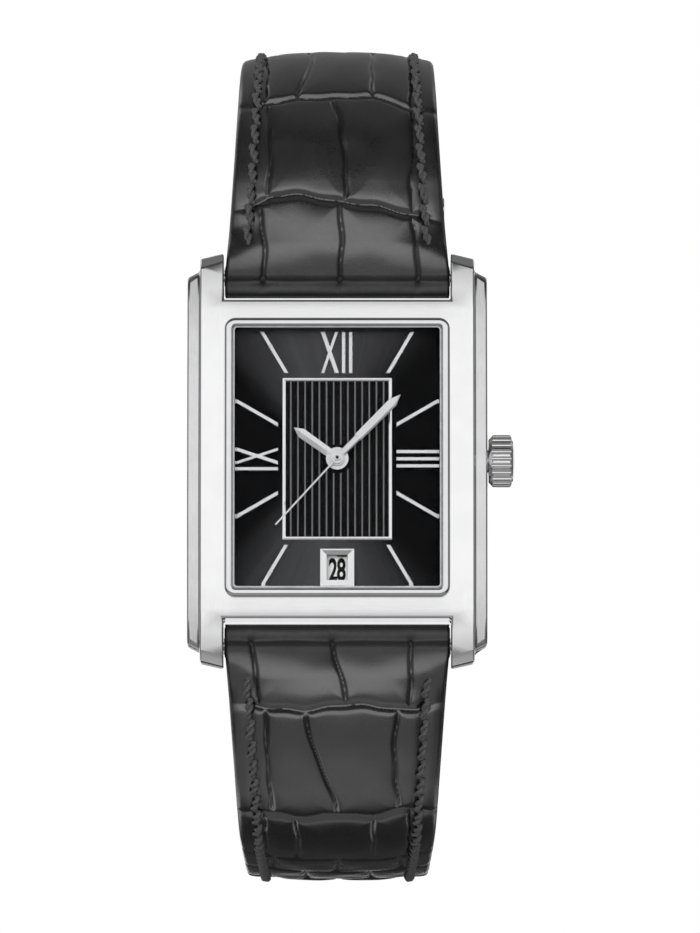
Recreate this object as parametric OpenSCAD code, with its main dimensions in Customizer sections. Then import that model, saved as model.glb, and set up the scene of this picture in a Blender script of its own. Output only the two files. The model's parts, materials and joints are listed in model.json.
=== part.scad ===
// Rectangular wristwatch with a stepped steel case and a leather strap, unbuckled.
// Millimetres. The dial faces -Y, 12 o'clock is +Z and the crown is on +X.
// The origin is the middle of the case back's outer face.

/* [Case] */
// Width of the case across its two stepped flanks
case_w = 29.3; // [29:0.1:31]
// Length of the case body between the two end walls
body_l = 31.2; // [31:0.1:31.6]
// Width of each stepped flank beside the raised front tier
flank_out = 1.25; // [1:0.05:1.5]
// How far the flanks reach past each end wall
flank_reach = 3.05; // [2:0.05:3.2]
// How far the lugs reach past each end wall
lug_reach = 4.7; // [4.6:0.05:5.4]
// Thickness of each lug across the case
lug_t = 2.3; // [2.2:0.05:2.6]
// Height of the front tier at its middle, from the case back's outer face
case_h = 6.6; // [6.5:0.05:6.8]
// Step down from the front tier to the flanks
flank_step = 1.4; // [0.8:0.05:1.8]
// Radius of the front's curve from 12 to 6 o'clock
front_r = 110; // [95:1:160]
// How far the lug tips slant back towards the flanks
lug_slant = 0.55; // [0.2:0.05:0.9]
// Depth of the facets on the lug tips
lug_chamfer = 0.5; // [0.3:0.05:0.8]
// How far the flanks' ends slant back
flank_slant = 0.65; // [0.3:0.05:0.9]
// Depth of the facets on the flanks' ends
flank_chamfer = 0.3; // [0.15:0.05:0.5]
// Thickness of the case back
back_t = 0.9; // [0.8:0.05:0.9]
// How far the case back's sides lie inside the flanks
back_side = 0.85; // [0.5:0.05:0.95]
// How far the case back's ends lie inside the end walls
back_end = 0.4; // [0.2:0.05:0.6]
// Thread diameter of the case-back screws
back_screw_d = 1.0; // [0.8:0.05:1.1]
// Head diameter of the case-back screws
back_head_d = 1.7; // [1.4:0.05:1.9]

/* [Glass and bezel] */
// Width of the front tier beside the polished bezel ring
rim_side = 2.35; // [2.1:0.05:2.4]
// Width of the front tier above and below the bezel ring
rim_end = 1.9; // [1.6:0.05:2]
// Width of the bezel ring's band
bezel_band = 0.92; // [0.8:0.02:0.96]
// Top of the bezel ring above the case back's outer face
bezel_top = 7.35; // [7.25:0.05:7.7]
// Corner radius of the bezel ring
bezel_corner = 1.15; // [0.6:0.05:1.5]
// Thickness of the glass
glass_t = 1.0; // [0.9:0.05:1.2]
// Wall of the nylon ring round the glass
glass_ring = 0.12; // [0.1:0.01:0.16]

/* [Dial] */
// Thickness of the dial plate
dial_t = 0.4; // [0.3:0.05:0.5]
// Width of the fluted centre panel over its frame
panel_w = 10.7; // [10:0.1:11]
// Length of the fluted centre panel over its frame
panel_l = 15.9; // [15:0.1:16.2]
// Width of the centre panel's frame line
panel_line = 0.34; // [0.24:0.02:0.44]
// Number of flutes in the centre panel
flutes = 14; // [10:1:18]
// Width of the hour bars and numeral strokes
mark_w = 0.36; // [0.28:0.02:0.44]
// Height of the hour bars and numerals above the dial
mark_h = 0.24; // [0.16:0.02:0.3]
// Gap between the centre panel and the marks above and below it
mark_gap = 0.43; // [0.3:0.01:0.8]
// Margin between the marks and the bezel ring
mark_margin = 0.3; // [0.2:0.02:0.6]
// Width of the date window's opening
date_w = 2.06; // [1.8:0.02:2.2]
// Gap between the centre panel and the date window's frame
date_gap = 0.87; // [0.8:0.01:1.2]
// Band of the frame round the date window
date_band = 0.62; // [0.4:0.02:0.7]

/* [Hands] */
// Length of the hour hand from the middle
hour_len = 5.2; // [4.6:0.1:5.6]
// Width of the hour hand
hour_w = 0.95; // [0.7:0.05:1.1]
// Length of the minute hand from the middle
minute_len = 8.76; // [8:0.02:9]
// Width of the minute hand
minute_w = 0.7; // [0.5:0.05:0.9]
// Length of the second hand from the middle
second_len = 8.9; // [8:0.1:9.2]
// Width of the second hand
second_w = 0.17; // [0.14:0.01:0.26]
// Angle of the hour hand, clockwise from twelve
hour_angle = 305.6; // [0:0.1:360]
// Angle of the minute hand, clockwise from twelve
minute_angle = 44.8; // [0:0.1:360]
// Angle of the second hand, clockwise from twelve
second_angle = 222.5; // [0:0.1:360]

/* [Crown] */
// Diameter of the crown
crown_d = 5.1; // [4.6:0.1:5.2]
// Length of the crown
crown_l = 2.6; // [2.4:0.05:3]
// Number of flutes round the crown
crown_flutes = 24; // [18:1:28]
// Gap between the pushed-in crown and the flank
crown_gap = 0.12; // [0.1:0.01:0.2]
// Travel of the crown from pushed in to fully pulled out
crown_pull = 0.9; // [0.7:0.05:1]
// Diameter of the winding stem
stem_d = 0.8; // [0.7:0.02:0.84]

/* [Strap] */
// Play of the strap beside each lug
strap_play = 0.1; // [0.1:0.01:0.3]
// How much each side of the strap narrows towards the buckle
strap_narrow = 2.0; // [1.9:0.1:2.5]
// Length over which the strap narrows
strap_taper = 21; // [15:1:24]
// Length of the twelve o'clock strap from bar to buckle bar
strap_12_l = 75; // [74.5:0.1:75.5]
// Length of the six o'clock strap from bar to tip
strap_6_l = 110; // [106:1:112]
// Thickness of the padded strap at the lugs
strap_t = 4.2; // [4:0.05:4.2]
// Thickness of the strap at the buckle
strap_end_t = 2.4; // [2.2:0.05:2.6]
// Thickness of the strap's edges
strap_edge_t = 2.0; // [1.8:0.05:2.2]
// Thickness of the lining
lining_t = 0.8; // [0.6:0.05:0.9]
// Inside radius of the strap's first bend, on its middle line
bend_r = 15; // [13:0.5:17]
// Radius of the strap's second bend, on its middle line
wrist_r = 19; // [18.5:0.1:19.5]
// How far the twelve o'clock strap turns round the wrist before its buckle, in degrees
wrist_turn = 62.893; // [60:0.001:65]
// Distance of the stitch rows from the strap's edges
stitch_in = 1.9; // [1.6:0.1:2.4]
// Distance from one stitch to the next
stitch_pitch = 2.2; // [2:0.05:3]
// Thickness of the stitching thread
thread_d = 0.6; // [0.4:0.05:0.8]
// Number of adjustment holes
strap_holes = 7; // [5:1:8]
// Distance from one adjustment hole to the next
hole_pitch = 6.5; // [6:0.1:6.8]
// Diameter of the adjustment holes
hole_d = 2.0; // [1.8:0.05:2.4]
// Diameter of the spring bars
bar_d = 1.8; // [1.6:0.05:1.9]
// Diameter of the spring bars' tips
tip_d = 0.8; // [0.7:0.05:0.9]
// Depth of the spring bars' tips in the lugs
tip_in = 0.9; // [0.7:0.05:1]

/* [Buckle and keepers] */
// Length of the buckle frame from the bar to its outer end
buckle_reach = 11.0; // [10:0.1:12]
// Width of the buckle frame's side arms
buckle_arm = 1.7; // [1.4:0.1:2]
// Thickness of the buckle frame
buckle_t = 1.9; // [1.7:0.1:2.2]
// Diameter of the buckle bar
buckle_bar_d = 1.8; // [1.6:0.05:1.9]
// Width of the buckle tang
tang_w = 1.8; // [1.4:0.1:1.8]
// Thickness of the buckle tang
tang_t = 1.1; // [0.9:0.1:1.2]
// Width of the sliding keeper along the strap
keeper_l = 5.0; // [4:0.1:5.2]
// Width of the fixed keeper along the strap
fixed_keeper_l = 4.0; // [3.4:0.1:4.2]
// Leather thickness of both keepers
keeper_t = 1.0; // [0.8:0.05:1.1]
// Room above the strap inside the keepers
keeper_room = 2.7; // [2.6:0.05:2.9]

/* [Hidden] */
$fn = 48;
// Clearance round pieces that are seated together
seat = 0.02;
// Clearance of running fits
run = 0.05;
// Plan of the case, each width from the one outside it
front_w = case_w - 2*flank_out;
bezel_w = front_w - 2*rim_side;
back_w = case_w - 2*back_side;
lug_gap = front_w - 2*lug_t;
strap_w = lug_gap - 2*strap_play;
strap_end_w = strap_w - 2*strap_narrow;
bezel_l = body_l - 2*rim_end;
back_l = body_l - 2*back_end;
flank_l = body_l + 2*flank_reach;
lug_l = body_l + 2*lug_reach;
// Inside of the bezel ring, which is the visible dial
view_w = bezel_w - 2*bezel_band;
view_l = bezel_l - 2*bezel_band;
// Marks and date window, in the room that the centre panel leaves
numeral_h = (view_l - panel_l)/2 - mark_margin - mark_gap;
date_frame_l = (view_l - panel_l)/2 - 0.04 - date_gap;
date_h = date_frame_l - 2*date_band;
date_y = view_l/2 - 0.04 - date_frame_l/2;
// Levels from the case back's outer face towards the viewer
bridge_z = back_t + 0.1;
bridge_t = 0.3;
plate_z = back_t + 1.4;
plate_t = 1.2;
motion_z = plate_z + plate_t;
date_z = motion_z + 0.6;
date_t = 0.25;
dial_z = date_z + 0.5;
dial_top = dial_z + dial_t;
bezel_z = dial_top + 0.6;
hour_z = dial_top + 0.45;
minute_z = hour_z + 0.35;
second_z = minute_z + 0.35;
glass_z = second_z + 0.45;
flank_h = case_h - flank_step;
stem_z = plate_z + 0.6;
bar_z = plate_z;
bar_y = body_l/2 + 2.5;
end_wall = body_l/2;
// Movement and the cavity round it; its plan follows the width of the case
cal = case_w/29.3;
plate_r = 12.0*cal;
cavity_r = 12.6*cal;
dial_w = view_w + 0.9;
dial_l = view_l + 0.9;
cavity_w = dial_w + 0.3;
cavity_l = dial_l + 0.3;
opening_w = dial_w - 0.06;
opening_l = dial_l - 0.06;
gasket_t = 0.5;
gasket_gap = 0.3;
screw_x = (cavity_w/2 + gasket_gap + gasket_t + case_w/2 - 1.2)/2 + 0.05;
screw_y = cavity_l/2 - 0.45;
// Gear train, with the module and the tooth counts of each pair
rotor_mod = 0.11*cal;
train_mod = 0.1*cal;
centre_mod = 0.0944444*cal;
hour_mod = 0.096*cal;
mid_cd = rotor_mod*(6 + 36)/2;
sec_cd = train_mod*(12 + 60)/2;
third_cd = train_mod*(8 + 60)/2;
minute_cd = train_mod*(12 + 36)/2;
date_cd = hour_mod*(40 + 80)/2;
mid_at = sec_cd*[cos(250), sin(250)];
rotor_at = (sec_cd + mid_cd)*[cos(250), sin(250)];
third_at = third_cd*[cos(130), sin(130)];
minute_at = minute_cd*[cos(120), sin(120)];
date_at = date_cd*[cos(300), sin(300)];
wheel_t = 0.12;
level_a = plate_z - 0.88;
level_b = plate_z - 0.65;
level_c = plate_z - 0.43;
level_d = plate_z - 0.23;
second_r = 0.15;
minute_r = 0.42;
hour_r = 0.75;
battery_at = cal*[6.05, 5.08];
battery_r = 3.4*cal;
battery_t = 2.15;
bridge_screws_at = cal*[[-6.0, 1.6], [2.6, -3.9], [1.2, 4.6]];
feet_at = cal*[[-8.6, 2.6], [8.6, -2.6]];
coil_y = -8.6*cal;
can_at = cal*[6.7, -5.6];
ring_out = 12.2*cal;
ring_in = 9.6*cal;
// Crown and its tube
tube_d = 2.2;
crown_x = case_w/2 + crown_gap;
crown_bore = 2.9;
tube_end = crown_x + 0.35 + crown_pull;
pinion_x = 6.9*cal;
// Straps, as runs of length and turn from a heading of 4 degrees backwards
root_r = strap_t/2;
first_turn = 80;
run_12 = 9.2;
run_6 = 4.2;
arc_l = bend_r*first_turn*PI/180;
wrist_arc_12 = wrist_r*wrist_turn*PI/180;
side_run = strap_12_l - run_12 - arc_l - wrist_arc_12;
turn_6 = 85;
wrist_arc_6 = wrist_r*turn_6*PI/180;
segs_12 = [[run_12, 0], [arc_l, first_turn], [side_run, 6], [wrist_arc_12, wrist_turn]];
segs_6 = [[run_6, 0], [arc_l, first_turn], [side_run, 6], [wrist_arc_6, turn_6],
  [strap_6_l - run_6 - arc_l - side_run - wrist_arc_6, 0]];
lining_s = 3.2;
tail_l = 8;
keeper_s = strap_12_l - 15;
fixed_keeper_s = strap_12_l - 5.5;
first_hole = strap_6_l - 19;
tip_travel = tip_in + 0.1;
bar_half = lug_gap/2 - 0.35 - tip_travel - 0.05;
// Buckle
arm_x = strap_end_w/2 + 0.35;
end_bar = 2.0;
tang_ring = buckle_bar_d/2 + run + 0.55;
end_loop = buckle_bar_d/2 + 0.85;

// The head's own frame: x to the crown, y to twelve o'clock, z towards the viewer
module head() {
  rotate([90, 0, 0]) children();
}

// A profile in (y, z), extruded over x
module across(w) {
  rotate([90, 0, 90]) translate([0, 0, -w/2]) linear_extrude(w) children();
}

// A bar along x from x1 to x2, at (y, z)
module bar_x(x1, x2, y, z, r) {
  translate([x1, y, z]) rotate([0, 90, 0]) cylinder(r = r, h = x2 - x1);
}

module rounded(w, l, r) {
  square([w - 2*r, l], center = true);
  square([w, l - 2*r], center = true);
  for (x = [-1, 1], y = [-1, 1]) translate([x*(w/2 - r), y*(l/2 - r)]) circle(r = r);
}

module plate(w, l, r, t) {
  linear_extrude(t) rounded(w, l, r);
}

module block(w, l, z1, z2) {
  translate([-w/2, -l/2, z1]) cube([w, l, z2 - z1]);
}

module disc(r, z1, z2) {
  translate([0, 0, z1]) cylinder(r = r, h = z2 - z1);
}

// A closed frame with mitred corners; the profile's x runs inwards from the outer edge
module mitred_frame(w, l, profile) {
  n = len(profile);
  polyhedron(
    points = [for (q = [[1, 1], [-1, 1], [-1, -1], [1, -1]], p = profile)
      [q[0]*(w/2 - p[0]), q[1]*(l/2 - p[0]), p[1]]],
    faces = [for (k = [0:3], j = [0:n - 1])
      [k*n + j, (k + 1) % 4*n + j, (k + 1) % 4*n + (j + 1) % n, k*n + (j + 1) % n]],
    convexity = 4);
}

// A gear's outline with slim teeth
module gear_2d(teeth, mod) {
  step = 360/teeth;
  tip = mod*teeth/2 + 0.85*mod;
  root = mod*teeth/2 - 0.95*mod;
  polygon([for (i = [0:teeth - 1], p = [[-0.30, root], [-0.10, tip], [0.10, tip], [0.30, root]])
    p[1]*[cos((i + p[0])*step), sin((i + p[0])*step)]]);
}

module gear(teeth, mod, z, t = wheel_t) {
  translate([0, 0, z]) linear_extrude(t) gear_2d(teeth, mod);
}

// A spoked wheel with a hub
module wheel(teeth, mod, z, hub = 0.3) {
  r = mod*teeth/2 - 1.6*mod;
  difference() {
    gear(teeth, mod, z);
    for (k = [0:3]) rotate([0, 0, 90*k]) translate([0, 0, z - 0.1]) linear_extrude(wheel_t + 0.2)
      difference() {
        intersection() {
          circle(r = r - 0.22);
          translate([0.11, 0.11]) square(r);
        }
        circle(r = hub + 0.15);
      }
  }
}

module cavity_plan(grow) {
  square([cavity_w + 2*grow, cavity_l + 2*grow], center = true);
  circle(r = cavity_r + grow, $fn = 96);
}

module front_cut(r_less) {
  translate([0, 0, case_h - front_r]) rotate([0, 90, 0])
    cylinder(r = front_r - r_less, h = case_w + 10, center = true, $fn = 360);
}

// Side profile of the case in (y, z), with the lugs drawn down behind the bars
module side_profile(half_l, tip_h) {
  foot = bar_y - 0.9;
  start = back_l/2 + 0.15;
  polygon([[-start, back_t], [start, back_t], [foot, 0.25],
    [foot + 1.6, 0.25], [half_l, tip_h], [half_l, 10], [-half_l, 10], [-half_l, tip_h],
    [-foot - 1.6, 0.25], [-foot, 0.25]]);
}

module case_middle() {
  tip = lug_l/2;
  color([0.80, 0.81, 0.82]) head() difference() {
    union() {
      intersection() {
        across(front_w) side_profile(tip, 1.4);
        linear_extrude(12) polygon([for (q = [[1, 1], [-1, 1], [-1, -1], [1, -1]])
          for (e = q[0]*q[1] > 0 ? [0, 1] : [1, 0])
            [q[0]*(e == 0 ? front_w/2 : lug_gap/2), q[1]*(e == 0 ? tip - lug_slant : tip)]]);
        front_cut(0);
      }
      intersection() {
        across(case_w) side_profile(flank_l/2, 0.9);
        linear_extrude(12) polygon([for (q = [[1, 1], [-1, 1], [-1, -1], [1, -1]])
          for (e = q[0]*q[1] > 0 ? [0, 1] : [1, 0])
            [q[0]*(e == 0 ? case_w/2 : front_w/2), q[1]*(flank_l/2 - (e == 0 ? flank_slant : 0))]]);
        front_cut(flank_step);
      }
    }
    for (s = [-1, 1]) {
      scale([1, s, 1]) translate([-lug_gap/2, end_wall, -1]) cube([lug_gap, 10, 14]);
      for (e = [-1, 1]) scale([e, s, 1]) {
        translate([lug_gap/2, tip, case_h - tip*tip/front_r/2 - lug_chamfer])
          rotate([0, 0, -atan(2*lug_slant/(front_w - lug_gap))]) rotate([-38, 0, 0])
            translate([-1, -3, 0]) cube([case_w, 6, 3]);
        intersection() {
          translate([front_w/2, flank_l/2, case_h - flank_step - flank_l*flank_l/front_r/8 - flank_chamfer])
            rotate([0, 0, -atan(2*flank_slant/(case_w - front_w))]) rotate([-38, 0, 0])
              translate([0, -2, 0]) cube([case_w, 4, 1]);
          translate([front_w/2, 0, 0]) cube([case_w, lug_l, case_h]);
        }
      }
      bar_x(-lug_gap/2 - tip_in - 0.3, lug_gap/2 + tip_in + 0.3, s*bar_y, bar_z, tip_d/2 + run);
    }
    translate([0, 0, back_t - 1]) linear_extrude(dial_z + 1 - back_t) cavity_plan(0);
    block(cavity_w, cavity_l, dial_z - 0.2, dial_top);
    block(opening_w, opening_l, dial_top - 0.1, case_h + 1);
    translate([0, 0, bezel_z])
      plate(bezel_w + 2*seat, bezel_l + 2*seat, bezel_corner + seat, 3);
    translate([0, 0, back_t - 1]) linear_extrude(1.6) difference() {
      cavity_plan(gasket_gap + gasket_t);
      cavity_plan(gasket_gap);
    }
    for (x = [-1, 1], y = [-1, 1])
      translate([x*screw_x, y*screw_y, 0]) disc(back_screw_d/2 + seat, 0.1, back_t + 1.75);
    bar_x(cavity_r - 0.5, case_w/2 + 1, 0, stem_z, tube_d/2 + seat/2);
  }
}

module bezel_ring() {
  h = bezel_top - bezel_z;
  r = 0.75;
  in = 0.44*bezel_band;
  out = bezel_band - in;
  from = acos(in/r);
  to = 180 - acos(out/r);
  color([0.86, 0.87, 0.88]) head() translate([0, 0, bezel_z]) intersection() {
    plate(bezel_w, bezel_l, bezel_corner, h + 1);
    translate([0, 0, -0.01]) mitred_frame(bezel_w, bezel_l, concat([[0, 0], [bezel_band, 0]],
      [for (i = [0:16]) let (a = from + (to - from)*i/16)
        [out + r*cos(a), h - r + r*sin(a) + 0.01]]));
  }
}

module crystal() {
  w = view_w - 2*glass_ring - 2*seat;
  l = view_l - 2*glass_ring - 2*seat;
  edge = 0.25;
  color([0.85, 0.9, 0.95, 0.35]) head() difference() {
    translate([0, 0, glass_z]) plate(w, l, 0.3, glass_t);
    for (s = [-1, 1]) {
      translate([s*w/2, 0, glass_z + glass_t]) rotate([0, 45, 0])
        cube([edge, l + 2, edge], center = true);
      translate([0, s*l/2, glass_z + glass_t]) rotate([45, 0, 0])
        cube([w + 2, edge, edge], center = true);
    }
  }
}

module crystal_gasket() {
  color([0.75, 0.76, 0.78]) head() translate([0, 0, glass_z]) linear_extrude(0.5)
    difference() {
      rounded(view_w - seat, view_l - seat, 0.35);
      rounded(view_w - 2*glass_ring - seat, view_l - 2*glass_ring - seat, 0.3);
    }
}

module dial_flange() {
  color([0.11, 0.11, 0.12]) head() difference() {
    block(opening_w - seat, opening_l - seat, dial_top, bezel_z - seat/2);
    block(view_w, view_l, dial_top - 1, bezel_z + 1);
  }
}

module dial() {
  color([0.12, 0.12, 0.13]) head() {
    difference() {
      union() {
        block(dial_w, dial_l, dial_z, dial_top);
        for (f = feet_at) translate([f[0], f[1], 0])
          disc(0.35, plate_z + 0.7, dial_z + 0.1);
      }
      disc(hour_r + 0.15, dial_z - 1, dial_top + 1);
      translate([0, -date_y, 0]) block(date_w, date_h, dial_z - 1, dial_top + 1);
    }
  }
}

module centre_panel() {
  w = panel_w - 2*panel_line;
  l = panel_l - 2*panel_line;
  pitch = w/(flutes + 0.4);
  color([0.09, 0.09, 0.1]) head() difference() {
    block(w - seat, l - seat, dial_top, dial_top + 0.12);
    for (i = [0:flutes - 1])
      translate([(i - (flutes - 1)/2)*pitch, 0, dial_top + 0.12])
        rotate([0, 45, 0]) cube([0.13, l + 1, 0.13], center = true);
    disc(hour_r + 0.15, dial_z, dial_top + 1);
  }
}

module centre_panel_frame() {
  color([0.84, 0.85, 0.86]) head() translate([0, 0, dial_top])
    mitred_frame(panel_w, panel_l,
      [[0, 0], [panel_line, 0], [panel_line, 0.12], [panel_line/2, 0.2], [0, 0.12]]);
}

// A raised stroke from p to q, with a ridge along its middle
module stroke(p, q, w = mark_w) {
  d = q - p;
  translate([p[0], p[1], dial_top]) rotate([0, 0, atan2(d[1], d[0])]) rotate([90, 0, 90])
    linear_extrude(norm(d)) polygon([[-w/2, 0], [w/2, 0], [w/2, mark_h/2], [0, mark_h],
      [-w/2, mark_h/2]]);
}

module hour_numerals() {
  top = view_l/2 - mark_margin;
  side = view_w/2 - mark_margin + 0.02;
  in = panel_w/2 + 0.4;
  x_w = 1.4;
  color([0.86, 0.87, 0.88]) head() {
    stroke([-1.42, top], [-1.42 + x_w, top - numeral_h]);
    stroke([-1.42 + x_w, top], [-1.42, top - numeral_h], mark_w*0.8);
    for (x = [0.64, 1.32]) stroke([x, top], [x, top - numeral_h]);
    for (y = [-0.7, 0, 0.7]) stroke([in, y], [side, y]);
    stroke([-side, 0.95], [-in, -0.4]);
    stroke([-side, -0.4], [-in, 0.95], mark_w*0.8);
    stroke([-side, -0.98], [-in, -0.98]);
  }
}

module hour_bars() {
  top = view_l/2 - mark_margin;
  low = panel_l/2 + 0.45;
  side = view_w/2 - mark_margin + 0.02;
  in = panel_w/2 + 0.4;
  color([0.86, 0.87, 0.88]) head() for (x = [-1, 1], y = [-1, 1]) {
    stroke([x*low*tan(30.5), y*low], [x*top*tan(30.5), y*top]);
    stroke([x*in, y*in*tan(30)], [x*side, y*side*tan(30)]);
  }
}

module date_window_frame() {
  w = date_w + 2*date_band;
  l = date_h + 2*date_band;
  color([0.86, 0.87, 0.88]) head() translate([0, -date_y, dial_top])
    mitred_frame(w, l, [[0, 0], [date_band, 0], [date_band, 0.06], [0.14, 0.27], [0, 0.22]]);
}

module movement_holder() {
  color([0.9, 0.9, 0.88]) head() difference() {
    translate([0, 0, bridge_z]) linear_extrude(dial_z - bridge_z - 0.05) cavity_plan(-run);
    disc(plate_r + run, 0, dial_z + 1);
    disc(ring_out + 0.15, date_z - 0.1, dial_z + 1);
    bar_x(plate_r - 1, cavity_r + 1, 0, stem_z, stem_d/2 + 0.1);
  }
}

module main_plate() {
  pocket_z = plate_z - 1;
  color([0.78, 0.70, 0.48]) head() {
    difference() {
      union() {
        disc(plate_r, plate_z, motion_z);
        difference() {
          disc(plate_r, motion_z - 0.1, date_z - run);
          disc(plate_r - 1.1, motion_z, date_z + 1);
        }
        for (s = bridge_screws_at) translate([s[0], s[1], 0])
          disc(0.5, bridge_z + bridge_t, plate_z + 0.1);
        translate([minute_at[0], minute_at[1], 0]) disc(0.2, motion_z - 0.1, date_z - 0.06);
        translate([date_at[0], date_at[1], 0]) disc(0.35, motion_z - 0.1, date_z + 0.2);
      }
      disc(minute_r + 0.1, plate_z - 1, motion_z + 1);
      translate([battery_at[0], battery_at[1], 0])
        disc(battery_r + run, pocket_z, bridge_z + 0.02 + battery_t + run);
      for (s = bridge_screws_at) translate([s[0], s[1], 0])
        disc(0.25 + seat/2, bridge_z, plate_z - 0.2);
      for (f = feet_at) translate([f[0], f[1], 0])
        disc(0.35 + seat, plate_z + 0.6, motion_z + 1);
      for (p = [mid_at, rotor_at, third_at]) translate([p[0], p[1], 0])
        disc(0.13, pocket_z, plate_z + 0.4);
      bar_x(pinion_x + 1, plate_r + 1, 0, stem_z, stem_d/2 + run);
      translate([pinion_x - 0.7, -0.95, plate_z - 0.5])
        cube([2.5 + crown_pull, 1.9, plate_t + 1]);
      bar_x(-5.88*cal - 0.07, 1.08*cal + 0.07, coil_y, plate_z - 0.3, 0.75);
      bar_x(can_at[0] - 2.3, can_at[0] + 2.3, can_at[1], plate_z - 0.3, 0.7);
      translate([rotor_at[0], rotor_at[1], 0]) disc(0.8, pocket_z, plate_z + 0.1);
    }
  }
}

module train_bridge() {
  color([0.80, 0.72, 0.5]) head() difference() {
    translate([0, 0, bridge_z]) linear_extrude(bridge_t) {
      translate(cal*[-1.6, -0.4]) circle(r = 5.0*cal);
      translate(rotor_at) circle(r = 1.1);
      for (s = bridge_screws_at) translate(s) circle(r = 0.95);
    }
    translate([battery_at[0], battery_at[1], 0]) disc(battery_r + 0.15, 0, plate_z);
    for (s = bridge_screws_at) translate([s[0], s[1], 0]) {
      disc(0.25 + seat/2, 0, plate_z);
      disc(0.5 + seat/2, 0, bridge_z + 0.15);
    }
    for (p = [[0, 0], mid_at, rotor_at, third_at]) translate([p[0], p[1], 0])
      disc(0.13, 0, plate_z);
  }
}

module bridge_screws() {
  color([0.3, 0.35, 0.6]) head() for (s = bridge_screws_at) translate([s[0], s[1], 0])
    difference() {
      union() {
        disc(0.5, bridge_z, bridge_z + 0.15);
        disc(0.25, bridge_z, plate_z - 0.25);
      }
      block(0.14, 2, 0, bridge_z + 0.07);
    }
}

module battery() {
  color([0.75, 0.76, 0.78]) head() translate([battery_at[0], battery_at[1], bridge_z + 0.02]) {
    disc(battery_r, 0.25, battery_t);
    disc(battery_r - 0.35, 0, 0.3);
  }
}

module battery_clamp() {
  color([0.82, 0.74, 0.52]) head() translate([0, 0, back_t + 0.02]) linear_extrude(0.07)
    difference() {
      union() {
        translate(bridge_screws_at[2] + [0.6, 0.2]) rotate([0, 0, 12])
          translate([-0.4, -0.8]) square([6.6*cal, 1.6]);
        translate(battery_at) circle(r = 1.5);
      }
      translate(bridge_screws_at[2]) circle(r = 0.55);
    }
}

module circuit_board() {
  color([0.12, 0.32, 0.2]) head() translate([0, 0, bridge_z + 0.02]) linear_extrude(0.2)
    difference() {
      intersection() {
        circle(r = plate_r - 0.4);
        translate(cal*[4.0, -8.8]) square(cal*[7.2, 7.0]);
      }
      translate(cal*[8.6, -3.4]) circle(r = 0.5);
    }
}

module quartz_can() {
  color([0.78, 0.79, 0.8]) head()
    bar_x(can_at[0] - 2.2, can_at[0] + 2.2, can_at[1], plate_z - 0.3, 0.6);
}

module coil() {
  color([0.72, 0.38, 0.22]) head() difference() {
    bar_x(-5.88*cal, 1.08*cal, coil_y, plate_z - 0.3, 0.65);
    bar_x(-5.2*cal, 0.4*cal, coil_y, plate_z - 0.3, 0.2);
  }
}

module stator() {
  color([0.6, 0.61, 0.63]) head() translate([0, 0, plate_z - 0.45]) linear_extrude(0.25)
    difference() {
      union() {
        translate([-6.6*cal, rotor_at[1] - 1.05]) square([8.4*cal, 2.1]);
        for (x = [-6.6*cal, 1.8*cal - 0.7]) translate([x, coil_y - 0.5]) square([0.7, 5*cal]);
      }
      translate(rotor_at) circle(r = 0.9);
    }
}

module crown_tube() {
  color([0.8, 0.81, 0.82]) head() difference() {
    bar_x(cavity_r + 0.05, tube_end, 0, stem_z, tube_d/2);
    bar_x(cavity_r - 1, tube_end + 1, 0, stem_z, stem_d/2 + run);
  }
}

module case_back() {
  color([0.78, 0.79, 0.8]) head() difference() {
    plate(back_w, back_l, 1.6, back_t);
    for (x = [-1, 1], y = [-1, 1]) translate([x*screw_x, y*screw_y, 0]) {
      disc(back_screw_d/2 + seat, -1, 3);
      disc(back_head_d/2 + seat, -1, 0.5);
    }
    for (s = [-1, 1]) {
      scale([s, 1, 1]) translate([back_w/2, 0, 0]) rotate([0, 45, 0])
        cube([0.5, 60, 0.5], center = true);
      scale([1, s, 1]) translate([0, back_l/2, 0]) rotate([45, 0, 0])
        cube([60, 0.5, 0.5], center = true);
    }
  }
}

module case_back_gasket() {
  color([0.1, 0.1, 0.11]) head() translate([0, 0, back_t]) linear_extrude(0.55)
    difference() {
      cavity_plan(gasket_gap + gasket_t - seat);
      cavity_plan(gasket_gap + seat);
    }
}

module case_back_screws() {
  color([0.84, 0.85, 0.86]) head() for (x = [-1, 1], y = [-1, 1])
    translate([x*screw_x, y*screw_y, 0]) difference() {
      union() {
        disc(back_head_d/2, 0.04, 0.5);
        disc(back_screw_d/2, 0.4, back_t + 1.6);
      }
      block(0.25, 3, -1, 0.24);
    }
}

// The tube of a spring bar; its ends take the sprung tips
module spring_bar(s) {
  head() difference() {
    bar_x(-bar_half, bar_half, s*bar_y, bar_z, bar_d/2);
    bar_x(-bar_half - 1, -bar_half + 3.4, s*bar_y, bar_z, tip_d/2 + 0.1 + run);
    bar_x(bar_half - 3.4, bar_half + 1, s*bar_y, bar_z, tip_d/2 + 0.1 + run);
  }
}

module spring_bar_12() {
  color([0.7, 0.71, 0.73]) spring_bar(1);
}

module spring_bar_6() {
  color([0.7, 0.71, 0.73]) spring_bar(-1);
}

// A sprung tip: shank in the tube, flange, and the point in the lug
module bar_tip(side, s) {
  face = lug_gap/2;
  head() scale([side, 1, 1]) {
    bar_x(bar_half - 2.2, face - 0.2, s*bar_y, bar_z, tip_d/2 + 0.1);
    bar_x(face - 0.35, face - 0.05, s*bar_y, bar_z, bar_d/2 - 0.1);
    bar_x(face - 0.1, face + tip_in, s*bar_y, bar_z, tip_d/2);
  }
}

module bar_tip_12_left() {
  color([0.72, 0.73, 0.75]) bar_tip(-1, 1);
}

module bar_tip_12_right() {
  color([0.72, 0.73, 0.75]) bar_tip(1, 1);
}

module bar_tip_6_left() {
  color([0.72, 0.73, 0.75]) bar_tip(-1, -1);
}

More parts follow.
